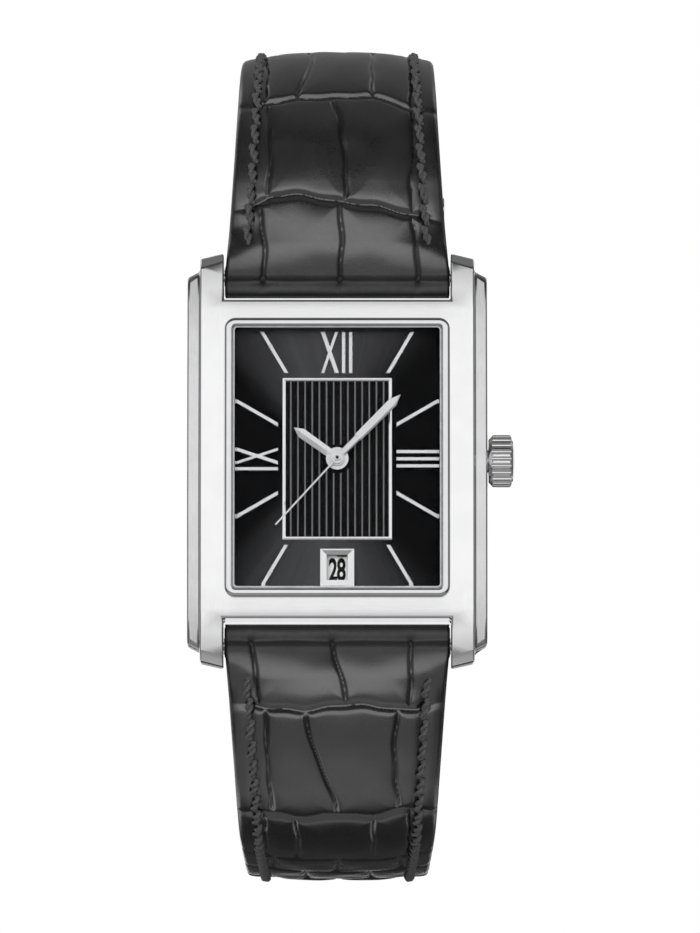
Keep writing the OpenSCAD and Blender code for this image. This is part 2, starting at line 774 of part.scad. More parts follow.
module bar_tip_6_right() {
  color([0.72, 0.73, 0.75]) bar_tip(1, -1);
}

// A hand pointing to +y with two facets that meet in a ridge
module hand_blade(len, w, w_root, tip, z, t) {
  intersection() {
    translate([0, 0, z]) linear_extrude(t) polygon([[-w_root/2, 0], [-w/2, len - tip], [0, len],
      [w/2, len - tip], [w_root/2, 0]]);
    translate([0, -1, z]) rotate([90, 0, 180]) linear_extrude(len + 2)
      polygon([[-w/2 - 0.1, 0], [w/2 + 0.1, 0], [w/2 + 0.1, t*0.3], [0, t], [-w/2 - 0.1, t*0.3]]);
  }
}

module hour_hand() {
  color([0.84, 0.85, 0.86]) head() rotate([0, 0, -hour_angle]) difference() {
    union() {
      hand_blade(hour_len, hour_w, hour_w*0.9, 0.9, hour_z, 0.18);
      disc(1.1, hour_z, hour_z + 0.16);
    }
    disc(hour_r + 0.005, hour_z - 1, hour_z + 1);
  }
}

module hour_wheel() {
  color([0.8, 0.7, 0.42]) head() difference() {
    union() {
      wheel(40, hour_mod, motion_z + 0.34, 0.85);
      disc(hour_r, motion_z + 0.34, hour_z + 0.16);
    }
    disc(minute_r + run, motion_z, minute_z + 1);
  }
}

module minute_hand() {
  color([0.84, 0.85, 0.86]) head() rotate([0, 0, -minute_angle]) difference() {
    union() {
      hand_blade(minute_len, minute_w, minute_w*0.8, 1.0, minute_z, 0.17);
      disc(0.75, minute_z, minute_z + 0.15);
    }
    disc(minute_r + 0.005, minute_z - 1, minute_z + 1);
  }
}

module centre_wheel() {
  color([0.8, 0.7, 0.42]) head() difference() {
    union() {
      wheel(64, centre_mod, level_d, 0.5);
      disc(minute_r, level_d, minute_z + 0.15);
      gear(12, train_mod, motion_z + 0.06, 0.2);
    }
    disc(second_r + run, 0, second_z + 1);
  }
}

module second_hand() {
  color([0.84, 0.85, 0.86]) head() rotate([0, 0, -second_angle]) difference() {
    union() {
      translate([-second_w/2, 0, second_z]) cube([second_w, second_len, 0.1]);
      disc(0.57, second_z, second_z + 0.25);
    }
    disc(second_r + 0.005, second_z - 1, second_z + 1);
  }
}

module seconds_wheel() {
  color([0.8, 0.7, 0.42]) head() {
    wheel(60, train_mod, level_b, 0.3);
    disc(0.1, bridge_z + 0.05, level_b + 0.1);
    disc(second_r, level_b - 0.05, second_z + 0.2);
    gear(8, train_mod, level_c - 0.03, 0.17);
  }
}

module third_wheel() {
  color([0.8, 0.7, 0.42]) head() translate([third_at[0], third_at[1], 0]) {
    wheel(60, train_mod, level_c, 0.3);
    disc(0.1, bridge_z + 0.05, plate_z + 0.3);
    gear(8, centre_mod, level_d - 0.05, 0.2);
  }
}

module intermediate_wheel() {
  color([0.8, 0.7, 0.42]) head() translate([mid_at[0], mid_at[1], 0]) {
    wheel(36, rotor_mod, level_a, 0.3);
    disc(0.1, bridge_z + 0.05, plate_z + 0.3);
    gear(12, train_mod, level_b - 0.05, 0.22);
  }
}

module rotor() {
  color([0.45, 0.46, 0.48]) head() translate([rotor_at[0], rotor_at[1], 0]) {
    gear(6, rotor_mod, level_a - 0.03, 0.2);
    disc(0.1, bridge_z + 0.05, plate_z + 0.3);
    disc(0.65, plate_z - 0.6, plate_z - 0.1);
  }
}

module minute_wheel() {
  color([0.8, 0.7, 0.42]) head() translate([minute_at[0], minute_at[1], 0]) difference() {
    union() {
      wheel(36, train_mod, motion_z + 0.1, 0.35);
      gear(10, hour_mod, motion_z + 0.2, 0.3);
    }
    disc(0.2 + run, motion_z - 1, date_z + 1);
  }
}

module date_wheel() {
  color([0.8, 0.7, 0.42]) head() translate([date_at[0], date_at[1], 0]) difference() {
    union() {
      wheel(80, hour_mod, motion_z + 0.34, 0.7);
      disc(0.8, motion_z + 0.34, date_z + 0.2);
      translate([-3.3, -0.2, date_z - 0.02]) cube([3.3, 0.4, 0.2]);
    }
    disc(0.35 + run, motion_z - 1, date_z + 1);
  }
}

module date_ring() {
  color([0.95, 0.95, 0.94]) head() translate([0, 0, date_z]) linear_extrude(date_t)
    difference() {
      circle(r = ring_out, $fn = 96);
      polygon([for (i = [0:30], p = [[-0.34, ring_in], [-0.12, ring_in - 0.3],
        [0.12, ring_in - 0.3], [0.34, ring_in]])
        p[1]*[cos((i + p[0])*360/31), sin((i + p[0])*360/31)]]);
    }
}

// A body turned round the stem; the profile's x is the radius and y runs to +x
module turned() {
  translate([0, 0, stem_z]) rotate([0, 90, 0]) rotate_extrude() children();
}

module crown() {
  r = crown_d/2;
  x = crown_x;
  e = crown_x + crown_l;
  color([0.84, 0.85, 0.86]) head() difference() {
    turned() polygon([[0, x], [r - 0.45, x], [r, x + 0.45], [r, e - 0.5], [r - 0.2, e - 0.35],
      [r - 0.45, e - 0.35], [r - 0.6, e - 0.2], [r - 1.1, e - 0.06], [r - 1.7, e], [0, e]]);
    for (k = [0:crown_flutes - 1]) translate([0, 0, stem_z]) rotate([360*k/crown_flutes, 0, 0])
      translate([x - 0.5, 0, r + 0.1]) rotate([0, 90, 0])
        cylinder(r = 0.26, h = crown_l + 0.13, $fn = 24);
    bar_x(x - 1, tube_end + 0.15, 0, stem_z, crown_bore/2);
    bar_x(x, e - 0.6, 0, stem_z, stem_d/2 + 0.005);
  }
}

module stem() {
  color([0.7, 0.71, 0.73]) head()
    bar_x(pinion_x - 0.5, crown_x + crown_l - 0.62, 0, stem_z, stem_d/2);
}

module sliding_pinion() {
  color([0.62, 0.63, 0.65]) head() translate([pinion_x, 0, stem_z]) rotate([0, 90, 0])
    linear_extrude(1.4) difference() {
      gear_2d(12, 0.11);
      circle(r = stem_d/2 + 0.005);
    }
}

module crown_gasket() {
  color([0.1, 0.1, 0.11]) head() difference() {
    bar_x(crown_x + 0.2, crown_x + 0.5, 0, stem_z, crown_bore/2 - 0.03);
    bar_x(crown_x, crown_x + 1, 0, stem_z, tube_d/2 + run);
  }
}

// The strap's middle line: outward, backward and heading at a distance from the bar
function step_on(p, l, turn) = turn == 0 ? [p[0] + l*cos(p[2]), p[1] + l*sin(p[2]), p[2]] :
  let (r = l/(turn*PI/180)) [p[0] + r*(sin(p[2] + turn) - sin(p[2])),
    p[1] + r*(cos(p[2]) - cos(p[2] + turn)), p[2] + turn];

function line_at(s, segs, i = 0, p = [bar_y, 0, 4]) =
  (s <= segs[i][0] || i == len(segs) - 1) ? step_on(p, s, segs[i][1]*s/segs[i][0]) :
    line_at(s - segs[i][0], segs, i + 1, step_on(p, segs[i][0], segs[i][1]));

// A point beside the middle line: x across, w outwards from the wrist
function strap_pt(s, segs, x, w) = let (p = line_at(s, segs))
  [x, p[1] - bar_z - w*cos(p[2]), p[0] + w*sin(p[2])];

function half_width(s) = (strap_end_w + (strap_w - strap_end_w)*exp(-s/strap_taper))/2;

function thick(s) = s < 10 ? strap_t - (strap_t - 3.6)*s/10 :
  s < 45 ? 3.6 - (3.6 - strap_end_t - 0.2)*(s - 10)/35 :
  max(strap_end_t, strap_end_t + 0.2 - 0.2*(s - 45)/20);

function tail(s, l) = s <= l - tail_l ? 1 :
  max(0.06, pow(1 - pow((s - l + tail_l)/tail_l, 2.2), 0.62));

// Share of the padding that is gone at u, which is 0 in the middle and 1 at the edge
function crown_drop(u) = pow(abs(u), 4);

function outer_w(s, u) = thick(s)/2 - (thick(s) - min(thick(s), strap_edge_t))*crown_drop(u);

across_u = [-1, -0.92, -0.8, -0.65, -0.45, -0.2, 0.2, 0.45, 0.65, 0.8, 0.92, 1];

// Rings of the same number of points, joined into a closed solid
module skin(rings) {
  n = len(rings[0]);
  m = len(rings);
  polyhedron(
    points = [for (r = rings, p = r) p],
    faces = [
      [for (j = [0:n - 1]) j],
      [for (j = [0:n - 1]) (m - 1)*n + n - 1 - j],
      for (i = [0:m - 2], j = [0:n - 1], t = [0, 1])
        let (a = i*n + j, b = i*n + (j + 1) % n)
          t == 0 ? [a, a + n, b] : [b, a + n, b + n]
    ],
    convexity = 6);
}

function stations(a, b, step) = let (n = ceil((b - a)/step)) [for (i = [0:n]) a + (b - a)*i/n];

module leather_sweep(segs, l, tip_l, stations_s) {
  skin([for (s = stations_s) let (h = half_width(s)*tail(s, tip_l), t = thick(s)/2)
    concat([for (u = across_u) strap_pt(s, segs, u*h, outer_w(s, u))],
      s < lining_s ? [strap_pt(s, segs, h, -t), strap_pt(s, segs, -h, -t)] :
        [strap_pt(s, segs, h, lining_t - t), strap_pt(s, segs, -h, lining_t - t)])]);
}

module lining_sweep(segs, tip_l, stations_s) {
  skin([for (s = stations_s) let (h = half_width(s)*tail(s, tip_l), t = thick(s)/2)
    [strap_pt(s, segs, -h, lining_t - t), strap_pt(s, segs, h, lining_t - t),
      strap_pt(s, segs, h, -t), strap_pt(s, segs, -h, -t)]]);
}

// Places a piece on the strap: y along the strap, z outwards from the wrist
module on_strap(s, segs, x = 0, w = 0) {
  p = line_at(s, segs);
  translate([x, p[1] - bar_z, p[0]]) rotate([90 - p[2], 0, 0]) translate([0, 0, w]) children();
}

module stitch_rows(segs, from, to) {
  n = floor((to - from)/stitch_pitch);
  for (i = [0:n], side = [-1, 1]) {
    s = from + (to - from)*i/n;
    x = half_width(s) - stitch_in;
    on_strap(s, segs, side*x, outer_w(s, x/half_width(s)))
      rotate([0, side*20, 0]) cube([thread_d*0.8, stitch_pitch*0.72, thread_d], center = true);
  }
}

// The loop of leather round a bar, with its bore
module bar_loop(r, half) {
  rotate([0, 90, 0]) cylinder(r = r, h = 2*half, center = true);
}

ends_12 = concat(stations(1, lining_s - 0.05, 1.08), stations(lining_s, run_12, 2),
  stations(run_12 + 1.4, run_12 + arc_l, 1.4), stations(run_12 + arc_l + 4, strap_12_l - 22, 4),
  stations(strap_12_l - 20.5, strap_12_l - 1, 1.5));
ends_6 = concat(stations(1, lining_s - 0.05, 1.08), stations(lining_s, run_6, 1),
  stations(run_6 + 1.4, run_6 + arc_l, 1.4),
  stations(run_6 + arc_l + 4, run_6 + arc_l + side_run, 4),
  stations(run_6 + arc_l + side_run + 1.6, strap_6_l - tail_l - 26, 1.6),
  stations(strap_6_l - tail_l - 20, strap_6_l - tail_l, 5),
  stations(strap_6_l - tail_l + 0.8, strap_6_l - 0.1, 0.8));

module strap_12_leather() {
  color([0.09, 0.09, 0.1]) difference() {
    union() {
      leather_sweep(segs_12, strap_12_l, 1000, ends_12);
      on_strap(0, segs_12) bar_loop(root_r, strap_w/2);
      on_strap(strap_12_l, segs_12) bar_loop(end_loop, half_width(strap_12_l));
    }
    on_strap(0, segs_12) bar_loop(bar_d/2 + 0.075, strap_w);
    on_strap(strap_12_l, segs_12) {
      bar_loop(buckle_bar_d/2 + run, strap_w);
      translate([-tang_w/2 - 0.2, -tang_ring - 1, -6]) cube([tang_w + 0.4, 12, 12]);
    }
  }
}

module strap_12_lining() {
  color([0.2, 0.15, 0.12]) difference() {
    lining_sweep(segs_12, 1000, [for (s = ends_12) if (s >= lining_s && s < strap_12_l - 1.9) s]);
    on_strap(strap_12_l, segs_12) {
      bar_loop(end_loop + 0.01, strap_w);
      translate([-tang_w/2 - 0.2, -tang_ring - 1, -6]) cube([tang_w + 0.4, 12, 12]);
    }
  }
}

module strap_12_stitching() {
  color([0.04, 0.04, 0.05]) stitch_rows(segs_12, 6, strap_12_l - 10);
}

// A keeper: a flat tube bent to the strap's second bend
module keeper(s, l, clear) {
  a = run_12 + arc_l + side_run;
  p = line_at(a, segs_12);
  h = line_at(s, segs_12)[2];
  half = l/2/wrist_r*180/PI;
  w = half_width(s) + clear;
  lo = wrist_r - thick(s)/2 - clear;
  hi = wrist_r + thick(s)/2 + keeper_room;
  translate([0, p[1] - bar_z + wrist_r*cos(p[2]), p[0] - wrist_r*sin(p[2])])
    rotate([90, 0, 90]) rotate([0, 0, 180 - h - half])
      rotate_extrude(angle = 2*half, $fn = 180) difference() {
        translate([lo - keeper_t, -w - keeper_t]) square([hi - lo + 2*keeper_t, 2*(w + keeper_t)]);
        translate([lo, -w]) square([hi - lo, 2*w]);
      }
}

module fixed_keeper() {
  color([0.09, 0.09, 0.1]) keeper(fixed_keeper_s, fixed_keeper_l, 0.12);
}

module free_keeper() {
  color([0.09, 0.09, 0.1]) keeper(keeper_s, keeper_l, 0.25);
}

module buckle_bar() {
  color([0.8, 0.81, 0.82]) on_strap(strap_12_l, segs_12) {
    bar_loop(buckle_bar_d/2, arm_x - 0.1);
    bar_loop(0.55, arm_x + buckle_arm - 0.5);
  }
}

module buckle_frame() {
  r = buckle_t/2;
  out = arm_x + buckle_arm;
  color([0.84, 0.85, 0.86]) on_strap(strap_12_l, segs_12) difference() {
    union() {
      for (s = [-1, 1]) scale([s, 1, 1]) {
        translate([arm_x, 0, 0]) rotate([0, 90, 0]) cylinder(r = r + 0.35, h = buckle_arm);
        translate([arm_x, 0, -r]) cube([buckle_arm, buckle_reach - 1.2, 2*r]);
        translate([out - 1.2, buckle_reach - 1.2, -r]) cylinder(r = 1.2, h = 2*r);
      }
      translate([1.2 - out, buckle_reach - end_bar, -r]) cube([2*out - 2.4, end_bar, 2*r]);
      translate([-out, buckle_reach - end_bar, -r]) cube([2*out, end_bar - 1.2, 2*r]);
    }
    bar_loop(0.55 + run, out - 0.45);
    translate([-tang_w/2 - 0.1, buckle_reach - end_bar - 0.1, r - 0.35])
      cube([tang_w + 0.2, end_bar - 0.3, 2]);
  }
}

module buckle_tang() {
  r = buckle_t/2;
  top = r - 0.3;
  color([0.84, 0.85, 0.86]) on_strap(strap_12_l, segs_12) difference() {
    union() {
      bar_loop(tang_ring, tang_w/2);
      translate([-tang_w/2, 0, top]) cube([tang_w, buckle_reach - 0.7, tang_t]);
      translate([-tang_w/2, 0, 0]) cube([tang_w, tang_ring, top + 0.2]);
    }
    bar_loop(buckle_bar_d/2 + run, tang_w);
  }
}

module strap_6_leather() {
  color([0.09, 0.09, 0.1]) mirror([0, 0, 1]) difference() {
    union() {
      leather_sweep(segs_6, strap_6_l, strap_6_l, ends_6);
      on_strap(0, segs_6) bar_loop(root_r, strap_w/2);
    }
    on_strap(0, segs_6) bar_loop(bar_d/2 + 0.075, strap_w);
    for (i = [0:strap_holes - 1]) on_strap(first_hole - i*hole_pitch, segs_6)
      cylinder(r = hole_d/2, h = 12, center = true);
  }
}

module strap_6_lining() {
  color([0.2, 0.15, 0.12]) mirror([0, 0, 1]) difference() {
    lining_sweep(segs_6, strap_6_l, [for (s = ends_6) if (s >= lining_s) s]);
    for (i = [0:strap_holes - 1]) on_strap(first_hole - i*hole_pitch, segs_6)
      cylinder(r = hole_d/2, h = 12, center = true);
  }
}

module strap_6_stitching() {
  color([0.04, 0.04, 0.05]) mirror([0, 0, 1]) stitch_rows(segs_6, 6, strap_6_l - 9);
}

case_middle();
bezel_ring();
crystal();
crystal_gasket();
dial_flange();
dial();
centre_panel();
centre_panel_frame();
hour_numerals();
hour_bars();
date_window_frame();
movement_holder();
main_plate();
train_bridge();
bridge_screws();
battery();
battery_clamp();
circuit_board();
quartz_can();
coil();
stator();
crown_tube();
case_back();
case_back_gasket();
case_back_screws();
spring_bar_12();
spring_bar_6();
bar_tip_12_left();
bar_tip_12_right();
bar_tip_6_left();
bar_tip_6_right();
hour_hand();
hour_wheel();
minute_hand();
centre_wheel();
second_hand();
seconds_wheel();
third_wheel();
intermediate_wheel();
rotor();
minute_wheel();
date_wheel();
date_ring();
crown();
stem();
sliding_pinion();
crown_gasket();
strap_12_leather();
strap_12_lining();
strap_12_stitching();
fixed_keeper();
free_keeper();
buckle_bar();
buckle_frame();
buckle_tang();
strap_6_leather();
strap_6_lining();
strap_6_stitching();
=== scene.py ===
import json
import math

import bmesh
import bpy
import numpy as np
from bpy.props import FloatProperty, FloatVectorProperty, IntProperty, PointerProperty
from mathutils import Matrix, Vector
from mathutils.geometry import tessellate_polygon

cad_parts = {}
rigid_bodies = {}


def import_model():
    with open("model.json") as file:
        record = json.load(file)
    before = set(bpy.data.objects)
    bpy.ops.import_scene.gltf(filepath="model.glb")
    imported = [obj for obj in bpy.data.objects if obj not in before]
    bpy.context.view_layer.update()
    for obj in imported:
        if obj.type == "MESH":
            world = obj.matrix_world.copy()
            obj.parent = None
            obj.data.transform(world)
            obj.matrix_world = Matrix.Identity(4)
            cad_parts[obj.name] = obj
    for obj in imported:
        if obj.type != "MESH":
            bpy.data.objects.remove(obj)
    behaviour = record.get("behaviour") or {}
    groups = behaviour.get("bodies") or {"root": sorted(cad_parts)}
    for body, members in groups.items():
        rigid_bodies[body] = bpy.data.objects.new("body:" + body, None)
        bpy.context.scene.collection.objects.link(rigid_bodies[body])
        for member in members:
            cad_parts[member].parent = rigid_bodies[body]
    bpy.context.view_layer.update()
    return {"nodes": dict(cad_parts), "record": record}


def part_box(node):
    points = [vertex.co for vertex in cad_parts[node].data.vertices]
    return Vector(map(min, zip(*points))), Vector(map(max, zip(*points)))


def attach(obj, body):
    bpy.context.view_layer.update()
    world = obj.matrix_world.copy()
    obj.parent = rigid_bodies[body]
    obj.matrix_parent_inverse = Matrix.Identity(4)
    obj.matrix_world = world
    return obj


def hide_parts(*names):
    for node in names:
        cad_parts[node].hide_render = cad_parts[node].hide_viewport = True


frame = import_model()
SLOTS = {m["slot"]: tuple(m["base_color"][:3]) for m in frame["record"]["materials"]}

bl_info = {
    "name": "Rectangular Wristwatch",
    "version": (1, 0, 0),
    "blender": (4, 5, 0),
    "location": "3D View > Sidebar > Watch",
    "description": "Dresses a rectangular wristwatch with leather, thread, metal and dial finishes",
    "category": "Add Mesh",
}

MM = 0.001
DEG = math.pi / 180
MERGE = 2e-7  # metres below which two points of a copied solid are one
FLAT = 0.04  # degrees below which two faces of a copied solid are one

# The strap's line, in millimetres and degrees, as the solids have it
BAR_OUT, BAR_UP, START_HEADING = 18.1, 2.3, 4.0
FIRST_TURN, BEND_R, WRIST_R = 80.0, 15.0, 19.0
TURN_12, TURN_6 = 62.893, 85.0
RUN_12, RUN_6, LENGTH_12, LENGTH_6 = 9.2, 4.2, 75.0, 110.0
ARC = BEND_R * FIRST_TURN * DEG
WRIST_12 = WRIST_R * TURN_12 * DEG
WRIST_6 = WRIST_R * TURN_6 * DEG
SIDE = LENGTH_12 - RUN_12 - ARC - WRIST_12
RUNS_12 = ((RUN_12, 0.0), (ARC, FIRST_TURN), (SIDE, 6.0), (WRIST_12, TURN_12))
RUNS_6 = ((RUN_6, 0.0), (ARC, FIRST_TURN), (SIDE, 6.0), (WRIST_6, TURN_6),
          (LENGTH_6 - RUN_6 - ARC - SIDE - WRIST_6, 0.0))
TIP_LENGTH, LINING_START, LINING = 8.0, 3.2, 0.8
ROOT_R, ROOT_BORE, END_R, END_BORE = 2.1, 0.975, 1.75, 0.95
HOLE_R, HOLE_PITCH, FIRST_HOLE, HOLES = 1.0, 6.5, LENGTH_6 - 19.0, 7
STITCH_IN, STITCH_FROM = 1.9, 4.0

# Creases between the scales, as points (across, along) in millimetres
CROSS_12 = (
    ((-11.6, 6.5), (-7.8, 7.2), (-6.3, 7.9), (-3.5, 8.0), (0.1, 7.3), (3.7, 6.9), (7.3, 6.1), (11.6, 5.6)),
    ((-11, 18.7), (-8.5, 18.1), (-4.9, 18.5), (-0.8, 18.6), (2.8, 18.8), (5.2, 18.4), (7.4, 17.5), (11, 17.8)),
    ((-11, 30.2), (-6, 29.4), (-1, 29.9), (3, 29.2), (7, 29.8), (11, 29.3)),
    ((-11, 40.5), (-5, 41.2), (1, 40.4), (5, 40.9), (11, 40.2)),
    ((-11, 50.8), (-6, 50.2), (0, 51.0), (6, 50.3), (11, 50.9)),
    ((-11, 60.2), (-5, 59.6), (0, 60.3), (6, 59.8), (11, 60.4)),
    ((-11, 68.8), (-4, 69.3), (2, 68.7), (11, 69.2)),
)
LONG_12 = (
    ((-8.0, -4), (-7.4, -1.5), (-7.1, 2.3), (-7.7, 7.0)),
    ((-0.1, -4), (0.3, 0.5), (0.46, 4.2), (0.15, 7.3)),
    ((7.9, -4), (7.9, -1.5), (7.8, 2.4), (7.3, 6.2)),
    ((-6.9, 7.7), (-6.8, 8.5), (-6.5, 13.3), (-7.0, 18.2)),
    ((0.5, 7.2), (0.85, 8.3), (0.76, 11.3), (0.26, 15.4), (-0.6, 18.5)),
    ((7.5, 6.1), (7.2, 9.5), (7.5, 13), (7.3, 17.6)),
    ((-3.9, 18.5), (-3.8, 19.4), (-2.5, 25.0), (-2.9, 29.6)),
    ((3.5, 18.8), (3.4, 24.0), (3.6, 29.3)),
    ((-7.2, 18.3), (-7.0, 24), (-7.4, 29.6)),
    ((7.3, 17.6), (7.4, 24), (7.2, 29.8)),
    ((-6.4, 29.4), (-6.2, 35), (-6.6, 41.0)),
    ((0.2, 29.7), (-0.2, 35), (0.4, 40.5)),
    ((6.5, 29.7), (6.2, 35), (6.7, 40.7)),
    ((-3.2, 41.0), (-3.4, 46), (-3.0, 50.6)),
    ((3.2, 40.6), (3.5, 46), (3.1, 50.7)),
    ((-6.2, 50.3), (-6.3, 60.0)),
    ((0.3, 51.0), (0.0, 60.3)),
    ((6.0, 50.3), (6.2, 59.9)),
    ((-3.1, 59.9), (-3.3, 69.2)),
    ((3.3, 60.0), (3.1, 68.8)),
    ((-6.2, 69.1), (-6.0, 78)),
    ((0.0, 69.0), (0.2, 78)),
    ((6.1, 68.9), (6.0, 78)),
)
CROSS_6 = (
    ((-11.6, 5.2), (-10.9, 5.4), (-6.9, 5.8), (-3.1, 6.0), (0.95, 5.5), (4.3, 5.7), (7.1, 6.0), (11.6, 5.2)),
    ((-11, 18.4), (-9.8, 18.2), (-6.6, 17.6), (-3.2, 17.9), (0, 17.3), (3.4, 17.7), (6.5, 17.0), (9.8, 18.1)),
    ((-11, 28.6), (-5, 29.2), (0, 28.5), (5, 29.1), (11, 28.4)),
    ((-11, 39.0), (-6, 38.4), (0, 39.2), (6, 38.6), (11, 39.1)),
    ((-11, 48.2), (-5, 48.9), (1, 48.1), (6, 48.8), (11, 48.2)),
    ((-11, 57.6), (-6, 57.0), (0, 57.8), (11, 57.1)),
    ((-11, 66.0), (-4, 66.6), (3, 65.9), (11, 66.5)),
    ((-11, 74.8), (-5, 74.2), (2, 74.9), (11, 74.3)),
    ((-11, 82.6), (-3, 83.2), (4, 82.6), (11, 83.1)),
    ((-11, 90.4), (-5, 90.0), (2, 90.7), (11, 90.2)),
    ((-11, 97.8), (-3, 98.3), (4, 97.7), (11, 98.2)),
    ((-11, 104.6), (0, 105.1), (11, 104.5)),
)
LONG_6 = (
    ((-8.9, -4), (-8.4, -1.3), (-7.7, 5.8)),
    ((-1.0, -4), (-0.6, -1.3), (-0.2, 1.1), (0.4, 3.1), (0.95, 5.5)),
    ((7.0, -4), (7.1, -1.3), (7.2, 2.1), (7.1, 6.0)),
    ((-3.15, 6.0), (-2.5, 9.0), (-1.3, 12.2), (-0.4, 14.9), (0.0, 17.3)),
    ((-7.1, 5.8), (-6.8, 11), (-6.4, 17.6)),
    ((6.0, 5.9), (5.6, 9.0), (5.7, 12.5), (6.1, 17.1)),
    ((-4.15, 17.9), (-3.8, 24), (-4.0, 29.0)),
    ((3.5, 17.7), (3.6, 24), (3.4, 28.9)),
    ((-7.3, 17.8), (-7.0, 28.9)),
    ((7.2, 17.3), (7.1, 28.7)),
    ((-6.2, 29.0), (-6.5, 38.5)),
    ((0.2, 28.6), (-0.1, 39.1)),
    ((6.2, 29.0), (6.4, 38.7)),
    ((-3.3, 38.8), (-3.1, 48.6)),
    ((3.1, 38.9), (3.4, 48.4)),
    ((-6.1, 48.8), (-6.2, 57.1)),
    ((0.1, 48.2), (-0.2, 57.7)),
    ((6.2, 48.7), (6.0, 57.3)),
    ((-3.2, 57.4), (-3.0, 66.5)),
    ((3.2, 57.6), (3.3, 66.0)),
    ((-6.2, 66.3), (-6.0, 74.3)),
    ((0.2, 66.2), (0.0, 74.7)),
    ((6.1, 66.1), (6.2, 74.6)),
    ((-3.1, 74.4), (-3.2, 83.1)),
    ((3.2, 74.8), (3.0, 82.7)),
    ((-6.1, 82.9), (-6.0, 90.1)),
    ((0.1, 82.9), (0.0, 90.5)),
    ((6.1, 82.7), (6.0, 90.4)),
    ((-3.1, 90.1), (-3.0, 98.2)),
    ((3.1, 90.6), (3.2, 97.8)),
    ((-6.0, 98.1), (-5.8, 104.8)),
    ((0.0, 98.0), (0.1, 105.0)),
    ((6.0, 97.9), (5.8, 104.9)),
    ((-2.6, 105.0), (-2.2, 112)),
    ((2.6, 105.0), (2.2, 112)),
)


HALVES = {"12": (RUNS_12, 1, LENGTH_12, CROSS_12, LONG_12), "6": (RUNS_6, -1, LENGTH_6, CROSS_6, LONG_6)}
TIPPED = 90.0  # a half longer than this ends in a rounded tip, a shorter one in the buckle's loop
STRAP_EDGE = 42.0  # degrees above which an edge of the strap is sharp

# Places on the watch head in millimetres, as the solids have them
BEZEL_WIDE, BEZEL_LONG, BEZEL_CORNER, FLANK_X = 11.05, 13.7, 1.15, 13.41
DIAL_FRONT, PANEL_FRONT, PANEL_WIDE, PANEL_LONG, HUB_R = 5.0, 5.12, 10.02, 15.18, 1.45
MARK_X, MARK_Z, XII_Z = (5.75, 9.85), (8.4, 12.48), (12.48, 8.38)
DATE_R, DATE_SHOWN, DATES = 10.78, 28, 31
MINUTE_FRONT, MINUTE_ANGLE = 5.8, 44.8


# ------------------------------------------------------------------ sizes and colours


def colour(label, about, default):
    return FloatVectorProperty(name=label, description=about, subtype="COLOR", size=3, min=0, max=1, default=default)


def number(label, about, default, **more):
    return FloatProperty(name=label, description=about, default=default, **more)


def size(label, about, default_mm):
    return number(label, about, default_mm * MM, unit="LENGTH", min=0, precision=5)


class StrapSettings(bpy.types.PropertyGroup):
    leather: colour("Leather", "Colour of the grained outer leather", (0.0045, 0.0045, 0.005))
    edge: colour("Edge paint", "Colour of the painted cut edges", (0.008, 0.008, 0.009))
    lining: colour("Lining", "Colour of the lining leather", (0.05, 0.04, 0.034))
    thread: colour("Thread", "Colour of the sewing thread", (0.07, 0.07, 0.072))
    crease: size("Crease depth", "Depth of the creases between the scales", 0.3)
    pillow: size("Scale height", "How far each scale rises in its middle", 0.2)
    pitch: size("Stitch pitch", "Distance from one stitch to the next", 2.15)
    ply: size("Ply radius", "Radius of each of the two twisted plies", 0.225)
    slant: number("Stitch slant", "Angle between a stitch and its row", 13 * DEG, subtype="ANGLE")
    seed: IntProperty(name="Seed", description="Seed of the small differences between stitches", default=7)


class MetalSettings(bpy.types.PropertyGroup):
    case: colour("Case steel", "Colour of the front of the case", (0.88, 0.88, 0.885))
    flank: colour("Flank steel", "Colour of the lower step of the case", (0.68, 0.68, 0.69))
    bezel: colour("Bezel steel", "Colour of the polished bezel", (0.75, 0.75, 0.76))
    polished: colour("Polished steel", "Colour of the crown and buckle", (0.82, 0.82, 0.83))
    marker: colour("Marker steel", "Colour of numerals and bars", (0.74, 0.74, 0.75))
    frame: colour("Frame steel", "Colour of the panel and date frames", (0.8, 0.8, 0.81))
    hand: colour("Hand steel", "Colour of the hands", (0.72, 0.72, 0.73))
    brass: colour("Plate brass", "Colour of the movement's plates", SLOTS["plate_brass"])
    copper: colour("Copper", "Colour of the coil's wire", SLOTS["coil_copper"])
    edge: size("Edge", "Width of the eased edges of the case", 0.22)
    mark: size("Mark width", "Width of the hour bars", 0.40)
    mark_height: size("Mark height", "Height of numerals and hour bars", 0.24)


class DialSettings(bpy.types.PropertyGroup):
    black: colour("Dial black", "Darkest colour of the sunray dial", (0.004, 0.004, 0.0045))
    # ray: the colour of the painted highlight (painted sheen) in the sunray sectors towards 12 and 6
    ray: colour("Sunray painted sheen", "Lighter colour of the sunray sectors", (0.072, 0.072, 0.075))
    panel: colour("Panel black", "Colour of the fluted centre panel", (0.004, 0.004, 0.0045))
    # line: the fine raised lines are real, and their grey, lighter than the black panel, is a painted highlight for the
    # light on each flute's crest
    line: colour("Flute line", "Colour of the fine lines of the panel", (0.26, 0.26, 0.265))
    flutes: IntProperty(name="Flutes", description="Number of fine lines on the panel", default=14, min=2)
    date_paper: colour("Date disc", "Colour of the date disc", (0.93, 0.93, 0.92))
    date_ink: colour("Date ink", "Colour of the printed date numbers", (0.012, 0.012, 0.013))
    date_height: size("Date height", "Height of the date numbers", 2.3)


class StageSettings(bpy.types.PropertyGroup):
    floor: colour("Floor", "Colour of the plain floor", (0.58, 0.58, 0.58))
    floor_z: number("Floor height", "Height of the floor", -0.13, unit="LENGTH")
    distance: number("Camera distance", "From the camera to the dial", 0.9, unit="LENGTH")
    elevation: number("Camera elevation", "Angle of the view above the horizon", -6 * DEG, subtype="ANGLE")
    lens: number("Lens", "Focal length in millimetres", 356.6)
    key: number("Key light", "Power of the soft key light in watts", 3.0)
    fill: number("Fill light", "Strength of the soft light from all round", 0.52)


# ------------------------------------------------------------------ material trees


